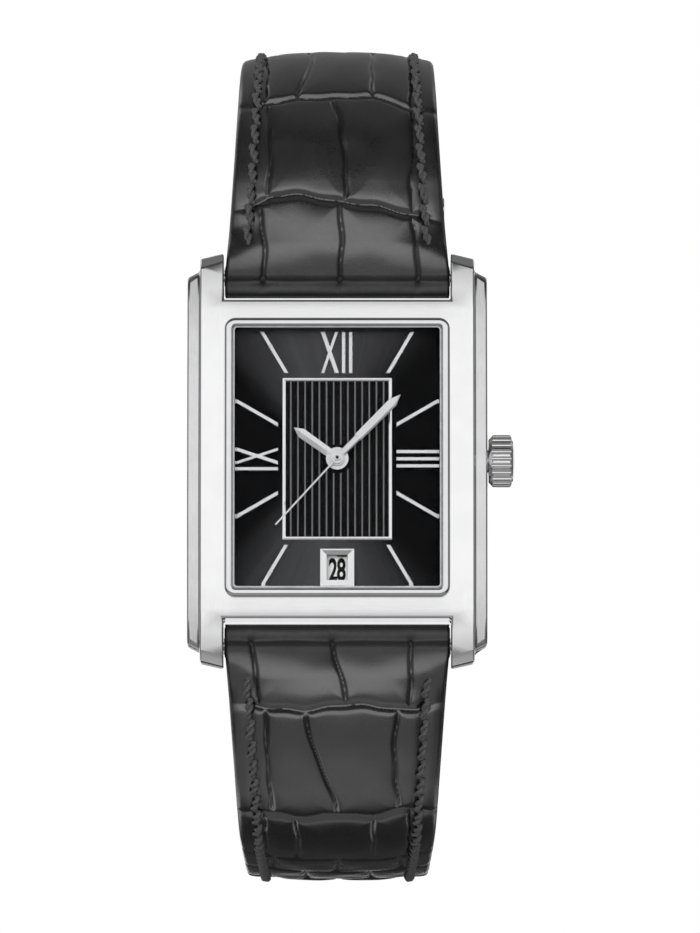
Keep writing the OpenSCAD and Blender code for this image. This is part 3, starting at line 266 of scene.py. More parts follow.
def shade_of(c, k):
    return tuple(min(1.0, x * k) for x in c)


def feed(tree, socket, value):
    """Links a socket to the one given, or sets its value."""
    if isinstance(value, bpy.types.NodeSocket):
        tree.links.new(value, socket)
    else:
        socket.default_value = value


class Nodes:
    """Shorthands for the nodes of one tree."""

    def __init__(self, tree):
        self.tree = tree

    def node(self, kind, inputs=(), **settings):
        n = self.tree.nodes.new(kind)
        for k, v in settings.items():
            setattr(n, k, v)
        for k, v in dict(inputs).items():
            feed(self.tree, n.inputs[k], v)
        return n

    def math(self, how, a, b=0.0, clamp=False):
        return self.node("ShaderNodeMath", {0: a, 1: b}, operation=how, use_clamp=clamp).outputs[0]

    def times(self, a, b):
        return self.math("MULTIPLY", a, b)

    def plus(self, a, b):
        return self.math("ADD", a, b)

    def spread(self, value, lo, hi, out_lo=0.0, out_hi=1.0):
        """A smooth step from out_lo to out_hi while the value goes from lo to hi."""
        return self.node("ShaderNodeMapRange", {0: value, 1: lo, 2: hi, 3: out_lo, 4: out_hi},
                         interpolation_type="SMOOTHSTEP").outputs[0]

    def blend(self, factor, a, b):
        return self.node("ShaderNodeMix", {0: factor, 2: a, 3: b}).outputs[0]

    def axes(self, vector):
        return self.node("ShaderNodeSeparateXYZ", {0: vector}).outputs


class Finish(Nodes):
    """A procedural material on Object coordinates in millimetres."""

    SOCKETS = {"Color": "Base Color", "Specular": "Specular IOR Level", "Transmission": "Transmission Weight",
               "Coat": "Coat Weight", "CoatRoughness": "Coat Roughness", "CoatIOR": "Coat IOR",
               "Sheen": "Sheen Weight", "SheenRoughness": "Sheen Roughness"}

    def __init__(self, material):
        material.use_nodes = True
        super().__init__(material.node_tree)
        self.shader = self.tree.nodes["Principled BSDF"]
        self.normal = None
        self.object = self.vector("SCALE", self.node("ShaderNodeTexCoord").outputs["Object"], 1 / MM)

    def vector(self, how, a, b):
        return self.node("ShaderNodeVectorMath", {0: a, 3 if how == "SCALE" else 1: b}, operation=how).outputs[0]

    def plan(self):
        """Object coordinates without their depth, for what runs through the flat parts."""
        return self.vector("MULTIPLY", self.object, (1.0, 0.0, 1.0))

    def stretch(self, scale):
        return self.node("ShaderNodeMapping", {"Vector": self.object, "Scale": scale}).outputs[0]

    def noise(self, scale, detail=3.0, rough=0.55, source=None, distortion=0.0):
        return self.node("ShaderNodeTexNoise", {"Vector": source or self.object, "Scale": scale, "Detail": detail,
                                                "Roughness": rough, "Distortion": distortion}).outputs["Fac"]

    def cells(self, scale, source=None, feature="DISTANCE_TO_EDGE"):
        return self.node("ShaderNodeTexVoronoi", {"Vector": source or self.object, "Scale": scale},
                         feature=feature).outputs["Distance"]

    def mix(self, factor, a, b):
        a, b = ((*v, 1.0) if isinstance(v, tuple) else v for v in (a, b))
        return self.node("ShaderNodeMix", {0: factor, 6: a, 7: b}, data_type="RGBA").outputs[2]

    def tones(self, value, lo, hi, tint, low_shade, high_shade=1.0):
        """Two shades of the tint, mixed by the value."""
        return self.mix(self.spread(value, lo, hi), shade_of(tint, low_shade), shade_of(tint, high_shade))

    def relief(self, value, depth_mm, strength=1.0):
        inputs = {"Strength": strength, "Distance": depth_mm * MM, "Height": value}
        if self.normal is not None:
            inputs["Normal"] = self.normal
        self.normal = self.node("ShaderNodeBump", inputs).outputs["Normal"]

    def set(self, **sockets):
        for k, v in sockets.items():
            feed(self.tree, self.shader.inputs[self.SOCKETS.get(k, k)], v)
        if self.normal is not None:
            feed(self.tree, self.shader.inputs["Normal"], self.normal)


def finish(fill):
    """Turns a function that fills a new material into one that takes a name and makes each named material once."""
    def material(name, *args, **kwargs):
        if name not in bpy.data.materials:
            fill(Finish(bpy.data.materials.new(name)), *args, **kwargs)
        return bpy.data.materials[name]

    return material


@finish
def one_grain(f, tint, grain, depth, shades, rough, along=None, clouds=None, band=(0.3, 0.7), over=None, **extra):
    """A finish from one grain, (scale, detail, roughness), which lifts the surface and varies tone and gloss.

    depth is (millimetres, strength); clouds is a second grain for the tone, over one more grain and its depth."""
    g = f.noise(*grain, source=f.stretch(along) if along else None)
    f.relief(g, *depth)
    if over:
        f.relief(f.noise(*over[0]), *over[1])
    f.set(Color=f.tones(f.noise(*clouds) if clouds else g, *band, tint, *shades),
          Roughness=f.spread(g, 0.3, 0.7, *rough), **extra)


@finish
def satin_steel(f, tint, rough=0.2, along=(1, 1, 1), grain=0.5):
    """Steel with fine brushing: thin streaks along one direction, faint marks and small changes of tone."""
    streak = f.noise(1.0, 4, 0.6, f.stretch(along))
    marks = f.spread(f.noise(6.0, 5, 0.7), 0.62, 0.72)
    even = f.spread(streak, 0.3, 0.7, rough * 0.8, rough * 1.2)
    f.relief(streak, 0.004, grain)
    f.set(Color=f.tones(f.noise(0.35, 3), 0.35, 0.65, tint, 0.95), Metallic=1.0,
          Roughness=f.plus(even, f.times(marks, 0.05)))


@finish
def front_steel(f, tint, rough):
    """The case front: brushed along its sides and across its two ends, whose colour is painted a shade darker as
    painted shade.
    """
    x, _, z = (f.math("ABSOLUTE", part) for part in f.axes(f.object))
    # ends marks the two end panels: they are brushed across, and their colour gets painted shade
    ends = f.times(f.spread(x, 9.2, 12.0, 1.0, 0.0), f.spread(z, 13.2, 13.8))
    upright, across = (f.noise(1.0, 4, 0.6, f.stretch(s)) for s in ((7.0, 7.0, 0.6), (0.6, 7.0, 7.0)))
    sides = f.times(upright, f.math("SUBTRACT", 1.0, ends))
    streak = f.plus(f.times(across, ends), sides)
    f.relief(streak, 0.004, 0.12)
    # Painted shade: the ends take the tint at 0.93, a shade darker than the sides.
    f.set(Color=f.mix(ends, f.tones(f.noise(0.35, 3), 0.35, 0.65, tint, 0.97), shade_of(tint, 0.93)), Metallic=1.0,
          Roughness=f.spread(streak, 0.3, 0.7, rough * 0.8, rough * 1.2))


@finish
def polished_steel(f, tint, rough=0.05, wear=0.05):
    """Mirror steel with hairline marks that only the gloss shows."""
    hair = f.spread(f.noise(1.0, 6, 0.75, f.stretch((9.0, 0.8, 2.5))), 0.55, 0.75)
    cloud = f.noise(0.6, 3)
    f.relief(f.noise(2.2, 4), 0.002, 0.25)
    f.set(Color=f.tones(cloud, 0.4, 0.6, tint, 0.97), Metallic=1.0,
          Roughness=f.plus(f.times(hair, wear), f.spread(cloud, 0.3, 0.7, rough, rough * 1.8)))


def moulded(name, tint, rough=0.45, grain=8.0, depth=0.01):
    """Moulded plastic or rubber: a fine matt grain and slight clouding."""
    return one_grain(name, tint, (grain, 4, 0.6), (depth, 0.6), (0.88, 1.08), (rough * 0.85, rough * 1.15),
                     clouds=(0.8, 3), band=(0.35, 0.65))


def printed(name, tint, rough=0.5, specular=0.3):
    """An even print or paint with a faint grain."""
    return one_grain(name, tint, (6.0, 4), (0.003, 0.3), (0.94, 1.0), (rough * 0.9, rough * 1.1), Specular=specular)


@finish
def grained_leather(f, tint):
    """Black semi-gloss leather: fine pores and wrinkles between the scales, less glossy beside the case."""
    source = f.node("ShaderNodeUVMap", uv_map="Strap").outputs[0]
    wrinkle, cloud = f.noise(1.9, 6, 0.62, source, 0.4), f.noise(0.22, 3, 0.5, source)
    f.relief(wrinkle, 0.05, 0.3)
    f.relief(f.spread(f.cells(5.5, source), 0.0, 0.22), 0.018, 0.3)
    f.relief(f.spread(f.cells(2.6, source, "F1"), 0.05, 0.3), 0.008, 0.2)
    rough = f.plus(f.spread(wrinkle, 0.3, 0.7, 0.27, 0.36), f.spread(cloud, 0.35, 0.65, -0.03, 0.05))
    _, y, z = f.axes(f.object)
    gloss = f.math("MAXIMUM", f.spread(f.math("ABSOLUTE", z), 17.5, 21.0), f.spread(y, 6.0, 10.0))
    f.set(Color=f.tones(cloud, 0.35, 0.65, tint, 0.75, 1.35), IOR=1.8, Coat=gloss, CoatRoughness=0.2, CoatIOR=1.85,
          Roughness=f.plus(rough, f.times(f.math("SUBTRACT", 1.0, gloss), 0.12)))


@finish
def lining_leather(f, tint):
    """Matt calf lining: small pebbled cells, pores and warm clouding."""
    cell = f.cells(2.2)
    f.relief(f.spread(cell, 0.0, 0.3), 0.05, 0.7)
    f.relief(f.spread(f.cells(3.7, feature="F1"), 0.0, 0.25), 0.02, 0.5)
    pebbled = f.tones(cell, 0.0, 0.16, tint, 0.6)
    f.set(Color=f.mix(f.spread(f.noise(0.25, 4), 0.3, 0.7), pebbled, shade_of(tint, 1.35)),
          Roughness=f.spread(cell, 0.0, 0.3, 0.7, 0.55), Specular=0.35)


@finish
def sunray_dial(f, black, sheen):
    """Black dial brushed from its middle: fine rays, and a painted highlight that lightens the sectors towards 12 and
    6.
    """
    flat = f.plan()
    x, _, z = f.axes(flat)
    angle = f.math("ARCTAN2", x, z)
    radius = f.node("ShaderNodeVectorMath", {0: flat}, operation="LENGTH").outputs["Value"]
    polar = f.node("ShaderNodeCombineXYZ", {0: f.times(angle, 26.0), 1: f.times(radius, 0.006)}).outputs[0]
    ray, fine = f.noise(1.0, 6, 0.72, polar), f.noise(4.6, 4, 0.7, polar)
    # Painted highlight: a bow-tie lobe set a little to one side lightens the colour towards 12 and 6, unevenly round
    # the dial and along the rays.
    aside = f.math("ARCTAN2", f.plus(x, 1.9), z)
    painted_sheen_lobe = f.spread(f.math("COSINE", f.times(aside, 2.0)), -0.1, 1.05)
    broad = f.node("ShaderNodeCombineXYZ", {0: f.times(angle, 3.2)})
    uneven = f.spread(f.noise(1.0, 2, 0.5, broad.outputs[0]), 0.3, 0.7, 0.75, 1.1)
    painted_sheen_amount = f.math("MULTIPLY", f.math("MULTIPLY", painted_sheen_lobe, uneven), f.spread(ray, 0.2, 0.8, 0.72, 1.12), clamp=True)
    f.relief(ray, 0.008, 0.15)
    f.relief(fine, 0.003, 0.1)
    # Painted highlight: the base colour goes from the black to the sheen colour by the painted sheen amount.
    f.set(Color=f.mix(painted_sheen_amount, black, sheen), Metallic=0.85, Roughness=f.spread(ray, 0.3, 0.7, 0.30, 0.40),
          Specular=0.1, Anisotropic=0.55,
          Tangent=f.node("ShaderNodeTangent", direction_type="RADIAL", axis="Y").outputs[0])


@finish
def perlage_brass(f, tint):
    """Gilt plate with overlapping circular graining."""
    spot = f.cells(0.75, f.plan(), "F1")
    rings = f.math("SINE", f.times(spot, 46.0))
    f.relief(rings, 0.004, 0.5)
    f.relief(f.noise(5.0, 5), 0.004, 0.3)
    f.set(Color=f.tones(spot, 0.0, 1.0, tint, 1.0, 0.85), Metallic=1.0,
          Roughness=f.spread(rings, -1, 1, 0.24, 0.36))


@finish
def wound_copper(f, tint):
    """Enamelled copper wire wound side by side along the coil, with painted shade in the grooves between the turns."""
    turn = f.math("ABSOLUTE", f.math("SINE", f.times(f.axes(f.object)["X"], math.pi / 0.09)))
    n = f.noise(1.4, 4)
    f.relief(turn, 0.045, 0.9)
    # Painted shade: the colour falls to a dark shade of the tint in the grooves between the turns.
    f.set(Color=f.mix(f.spread(turn, 0.0, 0.7), shade_of(tint, 0.35), f.mix(n, tint, shade_of(tint, 1.3))),
          Metallic=0.9, Roughness=f.spread(n, 0.3, 0.7, 0.2, 0.34), Coat=0.4, CoatRoughness=0.12)


@finish
def circuit_green(f, tint):
    """Green solder mask over thin copper tracks."""
    on = f.spread(f.cells(0.55, f.plan()), 0.10, 0.14, 1.0, 0.0)
    f.relief(on, 0.03, 0.6)
    f.relief(f.noise(10.0, 3), 0.004, 0.3)
    f.set(Color=f.mix(on, tint, (0.10, 0.30, 0.12)), Coat=0.3,
          Roughness=f.spread(f.noise(3.0, 3), 0.3, 0.7, 0.28, 0.4))


@finish
def watch_glass(f):
    """Clear coated glass: faint reflections, and its shadow left out."""
    smear = f.noise(0.35, 4, 0.6)
    f.set(Color=f.mix(f.spread(smear, 0.3, 0.7), (0.985, 0.99, 0.995), (1.0, 1.0, 1.0)),
          Roughness=f.spread(smear, 0.3, 0.7, 0.0, 0.012), Transmission=1.0, IOR=1.06)
    clear = f.node("ShaderNodeBsdfTransparent", {"Color": (1, 1, 1, 1)})
    shadow = f.node("ShaderNodeLightPath").outputs["Is Shadow Ray"]
    both = f.node("ShaderNodeMixShader", {0: shadow, 1: f.shader.outputs[0], 2: clear.outputs[0]})
    feed(f.tree, f.tree.nodes["Material Output"].inputs["Surface"], both.outputs[0])


# ------------------------------------------------------------------ meshes


def mesh_of(name, verts_mm, faces, materials=(), indices=None):
    mesh = bpy.data.meshes.new(name)
    mesh.from_pydata([tuple(v) for v in np.asarray(verts_mm) * MM], [], [tuple(int(i) for i in f) for f in faces])
    for m in materials:
        mesh.materials.append(m)
    if indices is not None:
        mesh.polygons.foreach_set("material_index", np.asarray(indices, np.int32))
    mesh.update()
    return mesh


def belongs(obj, body, nodes=()):
    """Hangs the piece on the body that it rides and hides the nodes that it stands for."""
    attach(obj, body)
    if nodes:
        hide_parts(*nodes)
    return obj


def placed(name, mesh, body=None, nodes=()):
    obj = bpy.data.objects.new(name, mesh)
    bpy.context.scene.collection.objects.link(obj)
    return belongs(obj, body, nodes) if body else obj


def skin(n, rings, base=0, closed=False, caps=True):
    """Faces round matching rings of n points each, closed with two caps or with the first ring."""
    starts = [base + i * n for i in range(rings)]
    faces = [(a + k, a + (k + 1) % n, b + (k + 1) % n, b + k)
             for a, b in zip(starts, starts[1:] + starts[:1] * closed) for k in range(n)]
    if caps and not closed:
        faces += [tuple(range(a, a + n)) for a in (starts[0], starts[-1])]
    return faces


def mark_sharp(bm, angle):
    """Smooth faces, and sharp edges where two of them meet at more than the angle, in degrees."""
    for f in bm.faces:
        f.smooth = True
    for e in bm.edges:
        e.smooth = len(e.link_faces) == 2 and e.calc_face_angle(0.0) < angle * DEG


def tidy(mesh, angle=None, merge=1e-7):
    """Merges doubles, turns faces outwards and marks edges sharper than the angle, in degrees."""
    bm = bmesh.new()
    bm.from_mesh(mesh)
    if merge:
        bmesh.ops.remove_doubles(bm, verts=bm.verts, dist=merge)
    bmesh.ops.recalc_face_normals(bm, faces=bm.faces)
    if angle is not None:
        mark_sharp(bm, angle)
    bm.to_mesh(mesh)
    bm.free()
    mesh.update()
    return mesh


def lay_uv(mesh, points):
    """Strap coordinates of every corner, from one pair (across, along) for each vertex."""
    loops = np.zeros(len(mesh.loops), np.int32)
    mesh.loops.foreach_get("vertex_index", loops)
    mesh.uv_layers.new(name="Strap").data.foreach_set("uv", points[loops].astype(np.float32).ravel())


def frozen(obj):
    """The plain mesh that the object and its modifiers make."""
    bpy.context.view_layer.update()
    return bpy.data.meshes.new_from_object(obj.evaluated_get(bpy.context.evaluated_depsgraph_get()))


def keep_only(obj, modifier, mesh):
    """Puts a plain mesh in place of the modifier and the mesh that it worked on."""
    obj.modifiers.remove(modifier)
    old, obj.data = obj.data, mesh
    bpy.data.meshes.remove(old)
    return obj


def eased_copy(name, node, width_mm, material, body, segments=2, angle=28.0, keep=None):
    """A copy of a solid with its flat faces joined and its edges eased, which stands for it.

    keep picks the edges to ease from their two ends in millimetres."""
    mesh = frame["nodes"][node].data.copy()
    mesh.name = name
    mesh.materials.clear()
    mesh.materials.append(material)
    mesh.polygons.foreach_set("material_index", np.zeros(len(mesh.polygons), np.int32))
    bm = bmesh.new()
    bm.from_mesh(mesh)
    bmesh.ops.remove_doubles(bm, verts=bm.verts, dist=MERGE)
    bmesh.ops.dissolve_limit(bm, angle_limit=FLAT * DEG, verts=bm.verts, edges=bm.edges)
    bmesh.ops.dissolve_degenerate(bm, dist=MERGE, edges=bm.edges)
    mark_sharp(bm, angle)
    if keep:
        weight = bm.edges.layers.float.new("bevel_weight_edge")
        for e in bm.edges:
            if not e.smooth and keep(*(v.co / MM for v in e.verts)):
                e[weight] = 1.0
                e.smooth = True
    bm.to_mesh(mesh)
    bm.free()
    obj = placed(name, mesh)
    if width_mm:
        b = obj.modifiers.new("Eased edges", "BEVEL")
        b.width, b.segments, b.angle_limit = width_mm * MM, segments, angle * DEG
        b.limit_method = "WEIGHT" if keep else "ANGLE"
        b.harden_normals = b.use_clamp_overlap = not keep
        if not keep:
            b.miter_outer = "MITER_ARC"
        else:
            w = obj.modifiers.new("Flat faces", "WEIGHTED_NORMAL")
            w.mode, w.weight, w.keep_sharp = "FACE_AREA", 100, True
    return belongs(obj, body, (node,))


def dress(material, *nodes):
    """Gives CAD nodes that are shown as they are a finish."""
    for n in nodes:
        obj = frame["nodes"][n]
        if not obj.material_slots:
            obj.data.materials.append(material)
        for s in obj.material_slots:
            s.material = material


def cut(obj, cutter):
    """Cuts the cutter out of the piece and removes it."""
    m = obj.modifiers.new("Cut", "BOOLEAN")
    m.operation, m.object = "DIFFERENCE", cutter
    try:
        m.solver = "MANIFOLD"
    except TypeError:
        m.solver = "EXACT"
    made = frozen(obj)
    if len(made.polygons) < len(obj.data.polygons) * 0.5:
        m.solver = "EXACT"
        made = frozen(obj)
    keep_only(obj, m, made)
    bpy.data.objects.remove(cutter)
    return obj


# ------------------------------------------------------------------ the strap's form


def strap_line(s, runs):
    """Outward and backward distance and heading of the strap's middle line at s, in millimetres and radians."""
    s = np.asarray(s, float)
    out, back, head, done = BAR_OUT, 0.0, START_HEADING, 0.0
    o, b, h = np.zeros_like(s), np.zeros_like(s), np.zeros_like(s)
    for i, (length, turn) in enumerate(runs):
        here = (s >= done) if i else np.ones_like(s, bool)

        def at(d):
            a = head * DEG
            if not turn:
                return out + d * math.cos(a), back + d * math.sin(a), head + 0 * d
            r, e = length / (turn * DEG), (head + turn * d / length) * DEG
            return out + r * (np.sin(e) - math.sin(a)), back + r * (math.cos(a) - np.cos(e)), head + turn * d / length

        o[here], b[here], h[here] = at(s[here] - done)
        end = at(np.float64(length))
        out, back, head = float(end[0]), float(end[1]), float(end[2])
        done += length
    return o, b, h * DEG


def strap_point(s, x, w, runs, flip):
    """Points x across and w outwards from the middle line at s."""
    o, b, h = strap_line(s, runs)
    x, o = np.broadcast_arrays(x, o)
    return np.stack([x, b - BAR_UP - w * np.cos(h), flip * (o + w * np.sin(h))], -1)


def half_width(s):
    """Half the strap's width: 22 mm at the lugs, 18 mm at the buckle."""
    return (18.0 + 4.0 * np.exp(-np.maximum(s, 0) / 21.0)) / 2


def thick(s):
    """The strap's thickness, leather and lining together."""
    s = np.maximum(s, 0)
    outer = np.where(s < 45, 3.6 - (s - 10) / 35, np.maximum(2.4, 2.6 - 0.01 * (s - 45)))
    return np.where(s < 10, 4.2 - 0.06 * s, outer)


def tail(s, length):
    """Share of its width that the strap keeps along its rounded tip."""
    q = np.clip((s - length + TIP_LENGTH) / TIP_LENGTH, 0, 1)
    return np.maximum(0.06, (1 - q**2.2) ** 0.62)


def ease(x, lo, hi):
    """A smooth step from 0 to 1 while x goes from lo to hi."""
    t = np.clip((x - lo) / (hi - lo), 0, 1)
    return t * t * (3 - 2 * t)


def smooth_path(points, n=7):
    """Points on a smooth curve through the given ones."""
    p = np.array(points, float)
    if len(p) < 3:
        return p
    q = np.vstack([2 * p[0] - p[1], p, 2 * p[-1] - p[-2]])
    out = []
    for i in range(1, len(q) - 2):
        a, b, c, d = q[i - 1 : i + 3]
        for t in np.arange(n) / n:
            square, cube = 2 * a - 5 * b + 4 * c - d, 3 * b - a - 3 * c + d
            out.append(0.5 * (2 * b + (c - a) * t + square * t * t + cube * t**3))
    return np.array(out + [p[-1]])


def distance_to(x, s, lines, reach=4.0):
    """Distance of each point (x, s) from the nearest of the lines."""
    best = np.full(x.shape, 9.0)
    for points in lines:
        line = smooth_path(points)
        for (ax, ay), (bx, by) in zip(line[:-1], line[1:]):
            near = ((x > min(ax, bx) - reach) & (x < max(ax, bx) + reach)
                    & (s > min(ay, by) - reach) & (s < max(ay, by) + reach))
            if not near.any():
                continue
            px, ps = x[near], s[near]
            vx, vy = bx - ax, by - ay
            t = np.clip(((px - ax) * vx + (ps - ay) * vy) / (vx * vx + vy * vy + 1e-12), 0, 1)
            best[near] = np.minimum(best[near], np.hypot(px - ax - t * vx, ps - ay - t * vy))
    return best


def emboss(x, s, cross, along, last_stitch, crease, pillow):
    """Height of the leather over its plain form: creases, raised scales and the two stitched channels."""
    wobble = 0.08 * np.sin(1.7 * x + 0.6 * s)
    d_cross = distance_to(x, s + wobble, cross)
    d_along = distance_to(x + 0.06 * np.sin(1.5 * s - x), s, along)
    half = half_width(s)
    edge = half - np.abs(x)
    calm = 0.25 + 0.75 * ease(edge, 0.6, 2.9)
    groove = np.maximum(np.exp(-((d_cross / 0.37) ** 2)), 0.62 * np.exp(-((d_along / 0.2) ** 2)))
    dome = 1 - np.exp(-np.minimum(d_cross, 1.1 * d_along) / 0.9)
    ripple = 0.03 * np.sin(1.1 * x + 0.5) * np.sin(0.8 * s + 1.0)
    h = calm * (-crease * groove + pillow * (dome - 1.0)) + ripple
    row = np.abs(np.abs(x) - (half - STITCH_IN))
    on_row = ease(s, STITCH_FROM - 1.4, STITCH_FROM + 0.4) * (1 - ease(s, last_stitch - 0.3, last_stitch + 1.3))
    return h - on_row * 0.16 * np.exp(-((row / 0.55) ** 2))


def root_pad(s):
    """The padding's rise from the folded root to its fullest line, 5 mm from the bar, and its fall behind that."""
    full = 0.18 * np.exp(-(((s - 5.2) / 2.6) ** 2)) - 1.0 * (1 - ease(s, -1.5, 3.3))
    return full - 0.5 * (ease(s, 7, 13) - ease(s, 15, 31))


def plain_top(s, x, length):
    """Outer surface of the plain form: full at the root, crowned across further out."""
    u = np.clip(np.abs(x) / half_width(s), 0, 1)
    t = thick(s)
    crown = ease(s, 0.5, 5.5) * (1 - ease(s, length - 4.5, length - 1.6) if length < TIPPED else 1)
    return t / 2 - (t - np.minimum(t, 2.0)) * u**2.8 * crown + root_pad(s)


def end_bulge(plain, s, length):
    """Blends the surface into the loop round the buckle bar."""
    loop = np.where(np.abs(s - length) < END_R, np.sqrt(np.maximum(END_R**2 - (s - length) ** 2, 0)), -4.0)
    k = 0.5
    h = np.clip(0.5 + 0.5 * (loop - plain) / k, 0, 1)
    return plain * (1 - h) + loop * h + k * h * (1 - h) * (s < length - 0.4)


def tip_points(length, n):
    """Places along the rounded tip, closer together towards its end."""
    return length - TIP_LENGTH + (1 - (1 - np.linspace(0, 1, n)[1:]) ** 1.7) * TIP_LENGTH


def along_strap(length, fine_to, fine=0.125, coarse=0.36):
    """Places along the top: close together near the case, wider further out, and close again at the end."""
    end = TIP_LENGTH if length > TIPPED else 4
    near = np.linspace(0, fine_to, int(fine_to / fine))
    far = np.linspace(fine_to, length - end, int((length - end - fine_to) / coarse))[1:]
    last = tip_points(length, 40) if length > TIPPED else np.linspace(length - end, length, 22)[1:]
    return np.concatenate([near, far, last])


def loft(name, rings, holes, materials, painted, uv):
    """Closed mesh from matching contours side by side, with painted sides that have round bores.

    rings: stations x contour x 3; holes: lists of (plane, left, right); painted: which strips are edge paint."""
    n_st, n_c, _ = rings.shape
    verts, uv = [rings.reshape(-1, 3)], [uv.reshape(-1, 2)]
    faces = skin(n_c, n_st, caps=False)
    index = [int(p) for p in painted for _ in range(n_c)]
    count, last = n_st * n_c, n_st - 1
    sides = {0: [list(range(n_c))], last: [list(range(last * n_c, n_st * n_c))]}
    for plane, left, right in holes:
        n = len(plane)
        for side, ring in ((0, left), (last, right)):
            verts.append(ring)
            uv.append(plane)
            sides[side].append(list(range(count, count + n)))
            count += n
        lo, hi = sides[0][-1], sides[last][-1]
        faces += [(lo[i], hi[i], hi[(i + 1) % n], lo[(i + 1) % n]) for i in range(n)]
        index += [1] * n
    points = np.concatenate(verts)
    for loops in sides.values():
        flat = [i for loop in loops for i in loop]
        triangles = tessellate_polygon([[Vector((points[i][1], points[i][2], 0)) for i in loop] for loop in loops])
        faces += [tuple(flat[i] for i in t) for t in triangles]
        index += [1] * len(triangles)
    mesh = mesh_of(name, points, faces, materials, index)
    lay_uv(mesh, np.concatenate(uv))
    return tidy(mesh, STRAP_EDGE)


def circle_2d(s, r, n=28):
    t = np.arange(n) * 2 * math.pi / n
    return np.stack([s + r * np.cos(t), r * np.sin(t)], -1)


def contours(turns, mid):
    """One contour for each turn round the left edge, each place across the face, and each turn round the right edge."""
    turns = np.array(turns) * DEG
    return [(-1, t) for t in turns[::-1]] + [(0, u) for u in mid] + [(1, t) for t in turns]


def across_rule(kind, t, length, radius, trim=0.0):
    """Gives the place across and the inset of one contour: on the face, or on an edge rounded with the radius."""
    def across(s):
        full = half_width(s) * (tail(s, length) if length > TIPPED else 1.0) - trim
        r = np.minimum(radius, full * 0.6)
        return (t * (full - r), 0 * s) if kind == 0 else (kind * (full - r + r * math.sin(t)), r * (1 - math.cos(t)))

    return across


def row_end(length):
    return length - (9 if length > TIPPED else 10)


def leather_piece(name, half, settings, materials):
    """Outer leather of one half, folded round its bar: top, both loops, flesh side and painted sides."""
    runs, flip, length, cross, along = half
    tip, last = length > TIPPED, row_end(length)
    crease, pillow = settings.crease / MM, settings.pillow / MM
    side = contours((15, 30, 45, 60, 75, 90), np.linspace(-1, 1, 161))
    top = along_strap(length, 24.0)
    inner = np.linspace((length if tip else length - math.sqrt(END_R**2 - 0.16)), LINING_START, 60)
    under = np.linspace(LINING_START, 0, 6)
    root = np.linspace(0, math.pi, 30)[1:-1]
    loop = np.linspace(0, math.pi * 256.8 / 180, 30)[1:-1] if not tip else np.zeros(0)
    arc = ROOT_R * (math.pi - root)
    rings, uvs = [], []
    for kind, t in side:
        across = across_rule(kind, t, length, 0.42)
        x, inset = across(top)
        plain = plain_top(top, x, length)
        w = plain if tip else end_bulge(plain, top, length)
        fade = 1.0 if tip else 1 - ease(top, length - 3.2, length - 1.2)
        w = w + fade * emboss(x, top, cross, along, last, crease, pillow) - inset
        if tip:
            w = w - 0.4 * (1 - np.sqrt(1 - ease(top, length - 0.5, length) * 0.96))
        pieces = [(top, x, w, top)]
        if not tip:
            x, inset = across(np.full_like(loop, length))
            r = END_R - inset
            pieces.append((length + r * np.sin(loop), x, r * np.cos(loop), length + END_R * loop))
        x, inset = across(inner)
        pieces.append((inner, x, LINING - thick(inner) / 2 + inset * 0.2, inner + 60))
        x, inset = across(under)
        pieces.append((under, x, -thick(under) / 2 + inset, under + 60))
        x, inset = across(0 * root)
        lift = (emboss(x, -arc, cross, along, last, crease, pillow) + root_pad(-arc)) * (1 - ease(arc, 0.9, 2.8))
        r = ROOT_R - inset + lift
        pieces.append((-r * np.sin(root), x, -r * np.cos(root), -arc))
        s, x, w, v = (np.concatenate([p[i] + 0 * p[0] for p in pieces]) for i in range(4))
        rings.append(strap_point(s, x, w, runs, flip))
        uvs.append(np.stack([x, v], -1))
    holes = []
    for at, r in [(0.0, ROOT_BORE)] + ([] if tip else [(length, END_BORE)]):
        plane = circle_2d(at, r)
        hw = float(half_width(np.array(at)))
        holes.append((plane, *(strap_point(plane[:, 0], x, plane[:, 1], runs, flip) for x in (-hw, hw))))
    painted = [bool(k and t > 50 * DEG) for k, t in side[1:]]
    return loft(name, np.array(rings), holes, materials, painted, np.array(uvs))


def lining_piece(name, half, materials):
    """Lining leather of one half, with a rounded lower edge."""
    runs, flip, length, _, _ = half
    side = contours((15, 35, 55, 75, 90), np.linspace(-1, 1, 30))
    if length > TIPPED:
        up = np.concatenate([np.linspace(LINING_START, length - TIP_LENGTH, 120), tip_points(length, 30)])
        down = up[::-1]
    else:
        up = np.linspace(LINING_START, length - math.sqrt(1.76**2 - 0.4**2), 150)
        down = np.linspace(length - math.sqrt(1.76**2 - 1.2**2), LINING_START, 150)
    s, rings, uvs = np.concatenate([up, down]), [], []
    for kind, t in side:
        across = across_rule(kind, t, length, 0.3, 0.03)
        (x1, in1), (x2, in2) = across(up), across(down)
        x = np.concatenate([x1, x2])
        w = np.concatenate([LINING - 0.01 - thick(up) / 2 - in1 * 0.1, -thick(down) / 2 + in2])
        rings.append(strap_point(s, x, w, runs, flip))
        uvs.append(np.stack([x, s], -1))
    return loft(name, np.array(rings), [], materials, [False] * (len(side) - 1), np.array(uvs))


def hole_cutter(material):
    """The punched holes of the 6 o'clock strap, as one mesh of round plugs across its thickness."""
    verts, faces, n = [], [], 36
    ds, x = circle_2d(0, HOLE_R, n).T
    for i in range(HOLES):
        o, b, h = (float(v[0]) for v in strap_line(np.array([FIRST_HOLE - i * HOLE_PITCH]), RUNS_6))
        faces += skin(n, 2, len(verts))
        for w in (-3.0, 3.0):
            oo = o + ds * math.cos(h) + w * math.sin(h)
            bb = b + ds * math.sin(h) - w * math.cos(h)
            verts += [(x[k], bb[k] - BAR_UP, -oo[k]) for k in range(n)]
    return placed("hole_plugs", tidy(mesh_of("hole_plugs", verts, faces, [material])))


